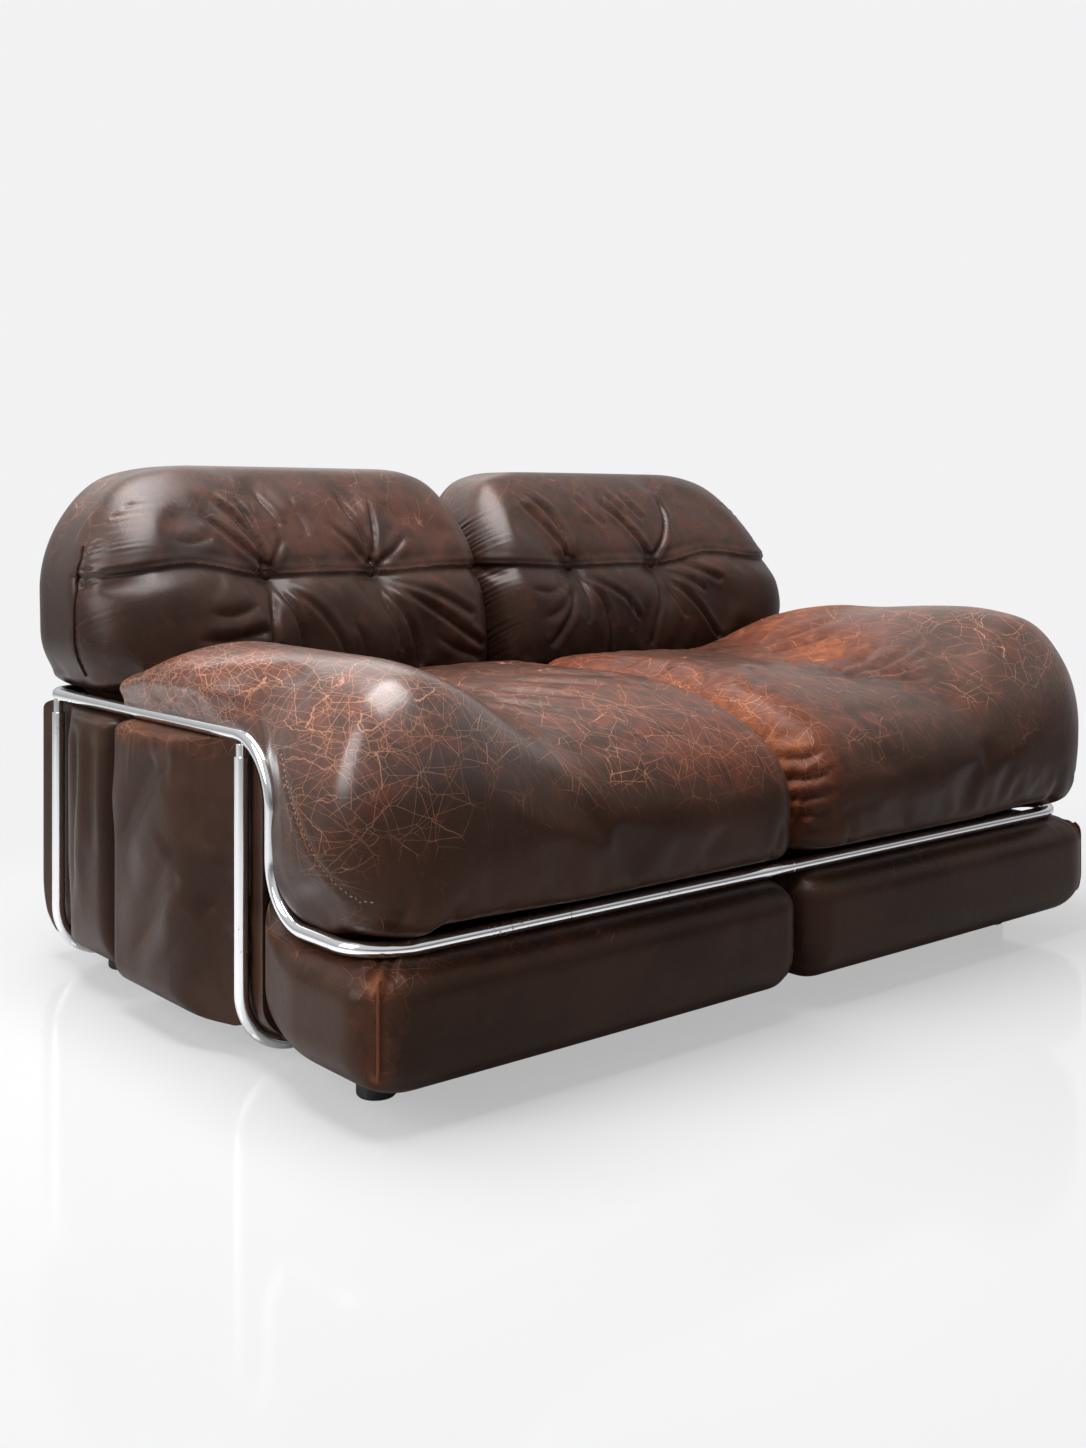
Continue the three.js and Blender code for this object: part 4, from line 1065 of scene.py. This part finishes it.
ROLL_EDGES = [(INNER_FACE, BASE_OUTER, 50.0, BASE_ROUND), (-46.0, 239.7, 60.0, 6.0),
              (BASE_BOTTOM, BASE_TOP, BASE_UNDER, 40.0)]
PANEL_EDGES = [(690.0, OUTER_FACE, 16.0, 30.0), (240.0, 644.0, 6.0, 22.0), (44.0, 432.0, 36.0, 16.0)]
LOWER_BACK_EDGES = [(INNER_FACE, BASE_OUTER, 40.0, 60.0), (664.0, 1000.0, 34.0, 64.0),
                    (BASE_BOTTOM, 431.0, 95.0, 18.0)]
lower = {}
for word, side in (("left", -1), ("right", 1)):
    for kind, edges, form, spacing in (
            ("base_roll", ROLL_EDGES, roll_form, 10.0), ("arm_panel", PANEL_EDGES, panel_form, 9.0),
            ("lower_back", LOWER_BACK_EDGES, lower_back_form, 13.0)):
        piece = grow(f"{word}_{kind}_cover", side, edges, form, spacing)
        refine(piece)
        lower[word, kind] = piece
        print(piece.name, len(piece.data.vertices), "points")

# %% [markdown]
# ## Folds and wear below the tube
# The panel under the arm is cut long and hangs in slanting folds. The base roll is pinched at its
# corner welt, where the finish is scuffed away. The folds are moved points, as on the cushions, because
# a bump alone would leave the outline straight. Painted shade darkens the fold valleys, the rear end of
# the arm panel and the front of the lower back under the seat.

# %% Lower creases and wear
CORNER_WELT_U = 743.0
# share of a pinch's spread at each height
PINCH_COURSE = ((0.2, 200), (0.6, 184), (1, 160))
PANEL_FOLDS = [
    ([(490, 400), (567, 311), (616, 250)], 17, 6.0), ([(440, 405), (530, 320), (604, 220)], 19, 4.5),
    ([(418, 240), (511, 156), (580, 90)], 18, 6.0), ([(330, 255), (399, 177), (474, 100)], 17, 6.0),
    ([(370, 350), (450, 260), (530, 170)], 20, 4.0), ([(340, 180), (380, 130), (420, 90)], 15, 4.0),
]


def crease_lower(word, kind):
    piece = lower[word, kind]
    points, normals = read_points(piece)
    u, y, z = points.T
    change = np.zeros(len(points))
    rub = np.full(len(points), 0.05)
    painted_shade = np.zeros(len(points))
    craze = np.full(len(points), 0.12)
    outward = smooth(normals[:, 0], 0.3, 0.8)
    if kind == "arm_panel":
        for path, width, depth in PANEL_FOLDS:
            change += fold(np.stack([y, z], axis=1), path, 1.3 * width, 0.8 * depth, swell=0.8) * outward
        change += gathers(y, 430.0 - z, 30.0, 40.0, 2.0, 1.9) * outward
        rub = rub + 0.45 * smooth(z, 385.0, 425.0) * smooth(y, 330.0, 400.0)
        # painted shade at the rear end of the arm panel, where it meets the lower back
        painted_shade = painted_shade + 0.8 * smooth(y, 610.0, 640.0)
        craze = craze + 0.35 * smooth(z, 380.0, 425.0)
    if kind == "base_roll":
        ahead = smooth(-normals[:, 1], 0.1, 0.6)
        change += gathers(u, BASE_TOP - z, 27.0, 22.0, 1.8, 0.7) * ahead * smooth(u, 600.0, 700.0)
        change += gathers(z, u - 6.0, 17.0, 30.0, 2.0, 2.7) * (1.0 - smooth(u, 40.0, 100.0))
        corner_gap = np.hypot(u - CORNER_WELT_U, y + 21.0)
        change += 2.0 * np.exp(-(corner_gap / 3.0) ** 2) - 1.5 * np.exp(-((corner_gap - 9.0) / 4.0) ** 2)
        rub = rub + 0.6 * np.exp(-(corner_gap / 24.0) ** 2)
        rub = rub + 0.3 * bell(z - 190.0, 10.0) * smooth(u, 250.0, 450.0)
        craze = craze + 0.22 * np.exp(-(corner_gap / 60.0) ** 2) + 0.25 * smooth(z, 165.0, 195.0)
        around = np.stack([u + y + 26.0, z], axis=1)
        for spread in (-46, -22, 24, 48):
            pinch = [(CORNER_WELT_U + share * spread, height) for share, height in PINCH_COURSE]
            change += fold(around, pinch, 6, 4.0, head=0.02, tail=0.6)
    if kind == "lower_back":
        upright = np.stack([y, z], axis=1)
        for path, width, depth in (
                ([(790, 420), (786, 330), (800, 220), (790, 100)], 16, 7.0),
                ([(720, 400), (726, 300), (716, 200)], 14, 3.5)):
            change += fold(upright, path, width, depth, swell=0.7) * outward
        # painted shade on the front face of the lower back, under and behind the seat
        painted_shade = painted_shade + 0.8 * (1.0 - smooth(y, 668.0, 700.0))
    write_points(piece, points + normals * change[:, None])
    write_mask(piece, "rub", rub)
    write_mask(piece, "craze", craze)
    write_mask(piece, "fine", np.zeros(len(points)))
    write_mask(piece, "polish", 0.04 + 0.08 * smooth(normals[:, 2], 0.2, 0.8))
    # painted shade in the fold valleys, added to the same mask
    write_mask(piece, "painted_shade", painted_shade + 0.4 * smooth(-change, 2.0, 8.0))
    piece.data.materials.append(base_leather)


for word, kind in lower:
    crease_lower(word, kind)
print("lower pieces creased:", len(lower))

# %% [markdown]
# ## Putting the covers in place of the CAD solids
# Each cover stands in for one solid of the CAD model, which is hidden, and stays with the sofa's body.

def declare(piece, node):
    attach(piece, "root")
    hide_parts(node)


for word in ("left", "right"):
    declare(seats[word], f"{word}_seat_cushion")
    declare(backs[word], f"{word}_back_cushion")
    declare(lower[word, "base_roll"], f"{word}_base_roll")
    declare(lower[word, "arm_panel"], f"{word}_arm_panel")
    declare(lower[word, "lower_back"], f"{word}_lower_back")
print("soft pieces declared:", len(seats) + len(backs) + len(lower))

# %% [markdown]
# ## Chrome tube
# The frame is bent from one size of tube, plated and polished. Its finish is a clean metal with faint
# scuffs that lie in cloudy patches. A swept ring along the centre line gives rounder bends than the
# CAD's coarse mesh.

# %% Chrome material
def make_scuff_group():
    tree, source, target = new_group(
        "metal_scuffs", [("Amount", FLOAT, 0.5)], [("Mask", FLOAT), ("Roughness", FLOAT)])
    where = add_node(tree, "ShaderNodeTexCoord", (-6, 2)).outputs["Object"]
    speck = add_node(tree, "ShaderNodeTexNoise", (-4, 0))
    set_inputs(speck, Scale=160.0, Detail=6.0, Roughness=0.75)
    tree.links.new(where, speck.inputs["Vector"])
    cloud = add_node(tree, "ShaderNodeTexNoise", (-4, 2))
    set_inputs(cloud, Scale=9.0, Detail=3.0)
    tree.links.new(where, cloud.inputs["Vector"])
    joined = add_math(tree, "MULTIPLY", speck.outputs["Fac"], cloud.outputs["Fac"], (-2, 0))
    raised = add_math(tree, "MULTIPLY", source.outputs["Amount"], 0.12, (-2, 2))
    level = add_math(tree, "ADD", joined, raised, (-1, 0))
    mask = add_step(tree, level, 0.4, 0.48, (0, 0))
    rough = add_math(tree, "MULTIPLY", cloud.outputs["Fac"], 0.16, (0, 2))
    tree.links.new(mask, target.inputs["Mask"])
    tree.links.new(rough, target.inputs["Roughness"])
    return tree


scuff_group = make_scuff_group()


def make_metal(name, colour, worn, amount):
    material = bpy.data.materials.new(name)
    material.use_nodes = True
    tree = material.node_tree
    surface = tree.nodes["Principled BSDF"]
    scuffs = place_group(tree, scuff_group, (-5, 0), Amount=amount)
    tree.links.new(add_mix(tree, scuffs.outputs["Mask"], colour, worn, (-3, 0)), surface.inputs["Base Color"])
    wear = add_math(tree, "MULTIPLY", scuffs.outputs["Mask"], 0.3, (-3, 2))
    rough = add_math(tree, "ADD", wear, scuffs.outputs["Roughness"], (-2, 2))
    tree.links.new(rough, surface.inputs["Roughness"])
    surface.inputs["Metallic"].default_value = 1.0
    return material


chrome = make_metal("chrome_plate", (0.84, 0.85, 0.87, 1.0), (0.34, 0.32, 0.3, 1.0), 0.35)
steel = make_metal("bare_steel", (0.52, 0.52, 0.53, 1.0), (0.28, 0.25, 0.22, 1.0), 0.8)
print("metals:", chrome.name, steel.name)

# %% [markdown]
# ## Bending the tube
# A tube bender turns a straight tube round a former, so every bend is an arc of its own radius. The
# centre line is built from corners in the same way, and a ring is carried along it without twisting. A
# curve with a bevel would also do, but here the ends get a small chamfer.

# %% Tube sweep
TUBE_RADIUS = 10.0
TUBE_SIDES = 36
BEND_STEPS = 18
END_CHAMFER = 0.9


def bent_path(corners):
    """Centre line through corners, each rounded by its own bend radius."""
    path = []
    for index, (at, radius) in enumerate(corners):
        at = np.array(at, float)
        if not radius:
            path.append(at)
            continue
        into = at - np.array(corners[index - 1][0], float)
        out = np.array(corners[index + 1][0], float) - at
        into, out = into / np.linalg.norm(into), out / np.linalg.norm(out)
        turn = math.acos(np.clip(into @ out, -1.0, 1.0))
        side = out - into * (out @ into)
        side = side / np.linalg.norm(side)
        start = at - into * radius * math.tan(turn / 2)
        for angle in np.linspace(0.0, turn, BEND_STEPS + 1):
            path.append(start + side * radius * (1 - math.cos(angle)) + into * radius * math.sin(angle))
    return np.array(path)


def sweep(name, path, radius, sides=TUBE_SIDES):
    """Round tube along a path with a small chamfer at both ends."""
    path = np.array(path, float)
    into = path[1] - path[0]
    away = path[-1] - path[-2]
    into, away = into / np.linalg.norm(into), away / np.linalg.norm(away)
    second, last_but_one = path[0] + into * END_CHAMFER, path[-1] - away * END_CHAMFER
    centres = np.vstack([path[0], second, path[1:-1], last_but_one, path[-1]])
    radii = np.full(len(centres), radius)
    radii[0] = radii[-1] = radius - END_CHAMFER
    steps = np.diff(centres, axis=0)
    steps = steps / np.linalg.norm(steps, axis=1, keepdims=True)
    tangents = np.vstack([steps[:1], steps[:-1] + steps[1:], steps[-1:]])
    tangents = tangents / np.linalg.norm(tangents, axis=1, keepdims=True)
    normal = np.array([1.0, 0.0, 0.0]) if abs(tangents[0][2]) > 0.9 else np.array([0.0, 0.0, 1.0])
    angles = np.linspace(0.0, 2 * math.pi, sides, endpoint=False)
    points = []
    for centre, tangent, size in zip(centres, tangents, radii):
        normal = normal - tangent * (normal @ tangent)
        normal = normal / np.linalg.norm(normal)
        other = np.cross(tangent, normal)
        ring = np.outer(np.cos(angles), normal) + np.outer(np.sin(angles), other)
        points.append(centre + ring * size)
    count = len(centres)
    faces = []
    for r in range(count - 1):
        for k in range(sides):
            nxt = (k + 1) % sides
            faces.append((r * sides + k, r * sides + nxt, (r + 1) * sides + nxt, (r + 1) * sides + k))
    mesh = bpy.data.meshes.new(name)
    caps = [tuple(range(sides))[::-1], tuple((count - 1) * sides + k for k in range(sides))]
    mesh.from_pydata([tuple(p) for p in in_row(np.concatenate(points))], [], faces + caps)
    mesh.shade_smooth()
    mesh.set_sharp_from_angle(angle=math.radians(35))
    made = bpy.data.objects.new(name, mesh)
    bpy.context.scene.collection.objects.link(made)
    return made


print("sweep ready, tube diameter", 2 * TUBE_RADIUS, "mm")

# %% [markdown]
# ## The belt and the leg hoops
# The belt runs round the sofa in four lengths that meet in fine joint lines. Two hoops pass under the
# seat, and narrower stubs join them to the rail. The lengths stay separate pieces, so the joint lines
# show as real gaps.

# %% Tubes
REAR_TUBE_Y = 947.0
FRONT_JOINTS = (-429.0, 8.0)
REAR_JOINT_X = 520.0
JOINT_GAP = 0.2
FRONT_CORNER_BEND, REAR_CORNER_BEND = 75, 45
HOOP_TOP, HOOP_LOW, HOOP_BEND = 414, 18, 80
STUB_FOOT, STUB_RADIUS = 380.0, 7.6
FRONT_TUBE_EXTRA = 0.35


def side_tube_path(side, joint):
    x = side * RAIL_X
    return bent_path([
        ((joint + side * JOINT_GAP, 0, FRONT_TUBE_Z), 0),
        ((x, 0, FRONT_TUBE_Z), FRONT_CORNER_BEND),
        ((x, S_BEND_Y, FRONT_TUBE_Z), LOWER_BEND),
        ((x, S_BEND_Y, RAIL_Z), UPPER_BEND),
        ((x, REAR_TUBE_Y, RAIL_Z), REAR_CORNER_BEND),
        ((side * (REAR_JOINT_X + JOINT_GAP), REAR_TUBE_Y, RAIL_Z), 0)])


def hoop_path(y):
    return bent_path([
        ((-RAIL_X, y, HOOP_TOP), 0), ((-RAIL_X, y, HOOP_LOW), HOOP_BEND),
        ((RAIL_X, y, HOOP_LOW), HOOP_BEND), ((RAIL_X, y, HOOP_TOP), 0)])


left_end, right_end = FRONT_JOINTS
rear_end = REAR_JOINT_X - JOINT_GAP
tubes = {
    "left_side_tube": side_tube_path(-1, left_end),
    "right_side_tube": side_tube_path(1, right_end),
    "front_tube": [(left_end + JOINT_GAP, 0, FRONT_TUBE_Z), (right_end - JOINT_GAP, 0, FRONT_TUBE_Z)],
    "rear_tube": [(-rear_end, REAR_TUBE_Y, RAIL_Z), (rear_end, REAR_TUBE_Y, RAIL_Z)],
    "front_leg_hoop": hoop_path(FRONT_LEG_Y),
    "rear_leg_hoop": hoop_path(REAR_LEG_Y),
}
for node_name, path in tubes.items():
    size = TUBE_RADIUS + (FRONT_TUBE_EXTRA if node_name == "front_tube" else 0.0)
    piece = sweep(f"{node_name}_plated", path, size)
    piece.data.materials.append(chrome)
    declare(piece, node_name)
for word, side in (("left", -1), ("right", 1)):
    for row, y, top in (("front", FRONT_LEG_Y, 431.0), ("rear", REAR_LEG_Y, 433.0)):
        node_name = f"{word}_{row}_leg_stub"
        upright = [(side * RAIL_X, y, STUB_FOOT), (side * RAIL_X, y, top)]
        piece = sweep(f"{node_name}_plated", upright, STUB_RADIUS)
        piece.data.materials.append(chrome)
        declare(piece, node_name)
print("tubes:", len(tubes), "stubs: 4")

# %% [markdown]
# ## Welts and stitches
# The covers are closed with piped welts at their ends and with rows of thick thread. A welt is a thin
# sweep laid on the cover; a stitch is a small spindle. Both are laid by finding the nearest place on
# the cover, so they follow its folds.

# %% Welts and stitches
def lay_on(piece, path, rise, count=8):
    """Places along a path brought onto a cover and lifted off it a little."""
    laid = []
    for point in bend(path, count):
        found, at, normal, unused = piece.closest_point_on_mesh(Vector(in_row(point)))
        laid.append(np.array(at + normal * (rise / 1000.0)) * 1000.0 + (0.0, DEPTH_MIDDLE, 0.0))
    return np.array(laid)


def add_welt(name, piece, path, radius, material):
    welt = sweep(name, lay_on(piece, path, 0.4 * radius), radius, 10)
    welt.data.materials.append(material)
    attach(welt, "root")


def add_stitches(name, piece, path, length, space, thick, material):
    """A row of spindles along a path laid on a cover."""
    line = lay_on(piece, path, 0.5 * thick, 24)
    walked = np.concatenate([[0.0], np.cumsum(np.linalg.norm(np.diff(line, axis=0), axis=1))])
    points, faces = [], []
    for start in np.arange(0.0, walked[-1] - length, length + space):
        ends = []
        for at in (start, start + length):
            ends.append(np.array([np.interp(at, walked, line[:, axis]) for axis in range(3)]))
        along = (ends[1] - ends[0]) / np.linalg.norm(ends[1] - ends[0])
        side = np.cross(along, (0.0, 0.0, 1.0))
        side = side / max(np.linalg.norm(side), 1e-6)
        other = np.cross(along, side)
        first = len(points)
        points.append(ends[0])
        for share in (0.25, 0.75):
            middle = ends[0] + (ends[1] - ends[0]) * share
            for turn in range(6):
                angle = turn * math.pi / 3
                points.append(middle + thick * (math.cos(angle) * side + math.sin(angle) * other))
        points.append(ends[1])
        for turn in range(6):
            a, b = first + 1 + turn, first + 1 + (turn + 1) % 6
            faces += [(first, b, a), (a, b, b + 6, a + 6), (first + 13, a + 6, b + 6)]
    row = make_mesh_object(name, points, faces)
    row.data.materials.append(material)
    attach(row, "root")


worn_welt = make_leather(
    "worn_welt", srgb(126, 74, 48), srgb(150, 90, 58), srgb(170, 104, 66), srgb(60, 40, 32), 0.0006)
thread = make_leather(
    "thread", srgb(168, 134, 106), srgb(150, 110, 84), srgb(150, 110, 84), srgb(120, 90, 70), 0.0002)
dark_thread = make_leather(
    "dark_thread", srgb(74, 54, 46), srgb(90, 60, 50), srgb(90, 60, 50), srgb(60, 44, 38), 0.0002)
for word, side in (("left", -1), ("right", 1)):
    corner = [(side * CORNER_WELT_U, -26.0, z) for z in (200.0, 165.0, 130.0, 95.0, 62.0)]
    add_welt(f"{word}_base_corner_welt", lower[word, "base_roll"], corner, 2.3, worn_welt)
    end_seam = [(side * END_SEAM_U, END_SEAM_Y, z) for z in (470.0, 520.0, 570.0, 620.0, 660.0, 700.0)]
    add_welt(f"{word}_back_end_welt", backs[word], end_seam, 2.2, back_leather)
    cross = [(side * u, 690.0, seam_line(u, BACK_BUTTONS[word]) + 8.0) for u in range(40, 700, 30)]
    add_stitches(f"{word}_back_stitches", backs[word], cross, 5.0, 2.2, 0.8, dark_thread)
    flank = [(side * 765.0, y, z) for y, z in SIDE_SEAM]
    add_stitches(f"{word}_seat_stitches", seats[word], flank, 4.5, 4.0, 0.9, thread)
print("welts: 4, rows of stitches: 4")

# %% [markdown]
# ## Buttons
# The buttons are small domes covered in the same leather, pulled deep into the back. Each one is a
# turned dome whose rim is pinched by the cover's folds.

# %% Buttons
BUTTON_RADIUS, BUTTON_RISE = 10.5, 7.5
BUTTON_Y = 729.0


def make_button(name, side, u):
    """Turned dome facing the front, with a finely pinched rim."""
    rings, sides = 12, 40
    points = [(0.0, -BUTTON_RISE, 0.0)]
    for r in range(1, rings + 1):
        t = r / rings
        angle = t * math.pi * 0.62
        radius = BUTTON_RADIUS * math.sin(angle)
        depth = -BUTTON_RISE * math.cos(angle)
        for k in range(sides):
            turn = 2 * math.pi * k / sides
            pinch = 1.0 + 0.018 * math.sin(turn * 9.0 + 1.3 * side) * t * t
            points.append((radius * pinch * math.cos(turn), depth, radius * pinch * math.sin(turn)))
    faces = [(0, 1 + k, 1 + (k + 1) % sides) for k in range(sides)]
    for r in range(rings - 1):
        for k in range(sides):
            a = 1 + r * sides + k
            b = 1 + r * sides + (k + 1) % sides
            faces.append((a, a + sides, b + sides, b))
    faces.append(tuple(1 + (rings - 1) * sides + k for k in range(sides)))
    at = np.array([side * u, BUTTON_Y, SEAM_Z])
    return make_mesh_object(name, np.array(points) + at, faces)


for word, side in (("left", -1), ("right", 1)):
    for index, u in enumerate(BACK_BUTTONS[word]):
        place = "left" if (index == 0) == (side > 0) else "right"
        node_name = f"{word}_back_{place}_button"
        button = make_button(f"{node_name}_cover", side, u)
        button.data.materials.append(back_leather)
        declare(button, node_name)
print("buttons: 4")

# %% [markdown]
# ## Feet finish and hidden carcass
# The feet are black plastic, a little uneven in tone. Frame, board, webbing and cloth keep their CAD
# shapes and get wood, jute and cloth finishes, because they show from below.

# %% Plain finishes
def make_plain(name, base, accent, scale, stretch, rough, bump_depth):
    """A finish whose colour drifts between two tones by a stretched noise."""
    material = bpy.data.materials.new(name)
    material.use_nodes = True
    tree = material.node_tree
    surface = tree.nodes["Principled BSDF"]
    where = add_node(tree, "ShaderNodeTexCoord", (-7, 0)).outputs["Object"]
    mapping = add_node(tree, "ShaderNodeMapping", (-6, 0))
    mapping.inputs["Scale"].default_value = stretch
    tree.links.new(where, mapping.inputs["Vector"])
    noise = add_node(tree, "ShaderNodeTexNoise", (-5, 0))
    set_inputs(noise, Scale=scale, Detail=6.0, Roughness=0.65)
    tree.links.new(mapping.outputs["Vector"], noise.inputs["Vector"])
    blend = add_step(tree, noise.outputs["Fac"], 0.35, 0.65, (-4, 0))
    tree.links.new(add_mix(tree, blend, base, accent, (-3, 0)), surface.inputs["Base Color"])
    bump = add_node(tree, "ShaderNodeBump", (-3, 3))
    set_inputs(bump, Strength=0.4, Distance=bump_depth)
    tree.links.new(noise.outputs["Fac"], bump.inputs["Height"])
    tree.links.new(bump.outputs["Normal"], surface.inputs["Normal"])
    surface.inputs["Roughness"].default_value = rough
    return material


foot_plastic = make_plain(
    "foot_plastic", (0.012, 0.012, 0.013, 1), (0.03, 0.03, 0.03, 1), 60.0, (1, 1, 1), 0.45, 0.0004)
plywood = make_plain("plywood", (0.09, 0.058, 0.03, 1), (0.14, 0.09, 0.05, 1), 18.0, (1, 6, 6), 0.7, 0.0004)
jute = make_plain("jute_webbing", (0.26, 0.19, 0.1, 1), (0.36, 0.28, 0.16, 1), 300.0, (4, 1, 1), 0.9, 0.001)
dust_cloth = make_plain(
    "dust_cloth", (0.012, 0.012, 0.012, 1), (0.03, 0.03, 0.03, 1), 500.0, (1, 1, 1), 0.95, 0.0004)
for node_name, node in nodes.items():
    finish = None
    if "seat_frame" in node_name or "back_board" in node_name:
        finish = plywood
    elif "webbing" in node_name:
        finish = jute
    elif "dust_cloth" in node_name:
        finish = dust_cloth
    elif "pin" in node_name:
        finish = steel
    if finish:
        node.data.materials.clear()
        node.data.materials.append(finish)
print("carcass finishes set")

# %% [markdown]
# ## Feet
# A round foot is turned, so one profile is carried once round its axis. A cylinder with a bevel would
# miss the narrower neck above the tread.

# %% Feet
def make_foot(name, x, y):
    """Turned foot: a rounded tread, a plain body and a narrower neck."""
    profile = [(0.0, 0.0), (20.0, 0.0), (23.5, 0.8), (25.6, 3.0), (26.0, 6.0), (26.0, 22.0),
               (25.4, 24.0), (24.4, 25.0), (24.4, 36.0), (23.0, 37.6), (0.0, 37.6)]
    sides = 48
    points, faces = [], []
    for radius, z in profile:
        for k in range(sides):
            turn = 2 * math.pi * k / sides
            points.append((x + max(radius, 0.01) * math.cos(turn), y + max(radius, 0.01) * math.sin(turn), z))
    for r in range(len(profile) - 1):
        for k in range(sides):
            nxt = (k + 1) % sides
            faces.append((r * sides + k, r * sides + nxt, (r + 1) * sides + nxt, (r + 1) * sides + k))
    made = make_mesh_object(name, points, faces)
    made.data.set_sharp_from_angle(angle=math.radians(35))
    return made


FOOT_X = 659.0
for word, side in (("left", -1), ("right", 1)):
    for row, y in (("front", 104.0), ("rear", 838.0)):
        node_name = f"{word}_{row}_foot"
        foot = make_foot(f"{node_name}_turned", side * FOOT_X, y)
        foot.data.materials.append(foot_plastic)
        declare(foot, node_name)
print("feet: 4")

# %% [markdown]
# ## Studio
# The photograph has a white sweep with a faintly glossy floor. A large plane serves as the floor, and
# it and the world show white to the camera. Soft area lamps light the sofa from above, from the left
# and a little from behind.

# %% Floor and light
WHITE_SEEN = (0.89, 0.89, 0.9, 1.0)
FLOOR_SEEN, FLOOR_BOUNCE = (0.78, 0.78, 0.78, 1.0), (0.28, 0.28, 0.28, 1.0)
ROOM_ABOVE, ROOM_BOUNCE = (0.66, 0.66, 0.66, 1.0), (0.2, 0.2, 0.2, 1.0)


def make_floor():
    """Pale glossy floor that fades to plain white away from the sofa, for the camera alone."""
    mesh = bpy.data.meshes.new("studio_floor")
    far = 14.0
    mesh.from_pydata([(-far, -far, 0), (far, -far, 0), (far, far, 0), (-far, far, 0)], [], [(0, 1, 2, 3)])
    floor = bpy.data.objects.new("studio_floor", mesh)
    bpy.context.scene.collection.objects.link(floor)
    material = bpy.data.materials.new("studio_floor")
    material.use_nodes = True
    tree = material.node_tree
    surface = tree.nodes["Principled BSDF"]
    path = add_node(tree, "ShaderNodeLightPath", (-5, 5))
    pale = add_mix(tree, path.outputs["Is Diffuse Ray"], FLOOR_SEEN, FLOOR_BOUNCE, (-3, 0))
    tree.links.new(pale, surface.inputs["Base Color"])
    surface.inputs["Roughness"].default_value = 0.1
    surface.inputs["Specular IOR Level"].default_value = 0.8
    where = add_node(tree, "ShaderNodeTexCoord", (-7, 3)).outputs["Object"]
    reach = add_node(tree, "ShaderNodeVectorMath", (-6, 3), operation="LENGTH")
    tree.links.new(where, reach.inputs[0])
    far_off = add_step(tree, reach.outputs["Value"], 0.7, 1.9, (-5, 3), to_min=0.5)
    shown = add_math(tree, "MULTIPLY", far_off, path.outputs["Is Camera Ray"], (-4, 3))
    white = add_node(tree, "ShaderNodeEmission", (-3, 3))
    set_inputs(white, Color=WHITE_SEEN, Strength=1.0)
    blend = add_node(tree, "ShaderNodeMixShader", (-1, 2))
    tree.links.new(shown, blend.inputs[0])
    tree.links.new(surface.outputs[0], blend.inputs[1])
    tree.links.new(white.outputs[0], blend.inputs[2])
    tree.links.new(blend.outputs[0], tree.nodes["Material Output"].inputs["Surface"])
    mesh.materials.append(material)


def make_world():
    """White for the camera, dimmer for bounced light, and brighter above than in front for the chrome."""
    world = bpy.data.worlds.new("studio_world")
    bpy.context.scene.world = world
    world.use_nodes = True
    tree = world.node_tree
    back = tree.nodes["Background"]
    back.inputs["Strength"].default_value = 1.0
    way = add_node(tree, "ShaderNodeTexCoord", (-8, 2)).outputs["Generated"]
    parts = add_node(tree, "ShaderNodeSeparateXYZ", (-7, 2))
    tree.links.new(way, parts.inputs[0])
    front = add_step(tree, parts.outputs["Y"], -0.75, 0.1, (-6, 2), to_min=0.16, to_max=0.45)
    above = add_step(tree, parts.outputs["Z"], 0.02, 0.5, (-6, 4))
    room = add_mix(tree, above, front, ROOM_ABOVE, (-5, 3))
    path = add_node(tree, "ShaderNodeLightPath", (-5, 0))
    dimmed = add_mix(tree, path.outputs["Is Diffuse Ray"], room, ROOM_BOUNCE, (-4, 2))
    shade = add_mix(tree, path.outputs["Is Camera Ray"], dimmed, WHITE_SEEN, (-2, 0))
    tree.links.new(shade, back.inputs["Color"])


def add_lamp(name, at, toward, size, power):
    lamp_data = bpy.data.lights.new(name, "AREA")
    lamp_data.shape = "RECTANGLE"
    lamp_data.size, lamp_data.size_y = size
    lamp_data.energy = power
    lamp = bpy.data.objects.new(name, lamp_data)
    bpy.context.scene.collection.objects.link(lamp)
    lamp.location = at
    lamp.rotation_euler = (Vector(toward) - Vector(at)).to_track_quat("-Z", "Y").to_euler()


make_floor()
make_world()
add_lamp("top_soft_box", (-0.7, 0.1, 2.9), (-0.1, 0.1, 0.3), (2.4, 1.6), 112.0)
add_lamp("rear_soft_box", (0.2, 2.4, 2.4), (0.0, 0.0, 0.5), (3.2, 1.2), 12.0)
add_lamp("left_soft_box", (-3.4, 0.3, 1.9), (0.0, 0.0, 0.4), (1.6, 2.0), 58.0)
bpy.context.scene.view_settings.view_transform = "Standard"
print("studio ready")
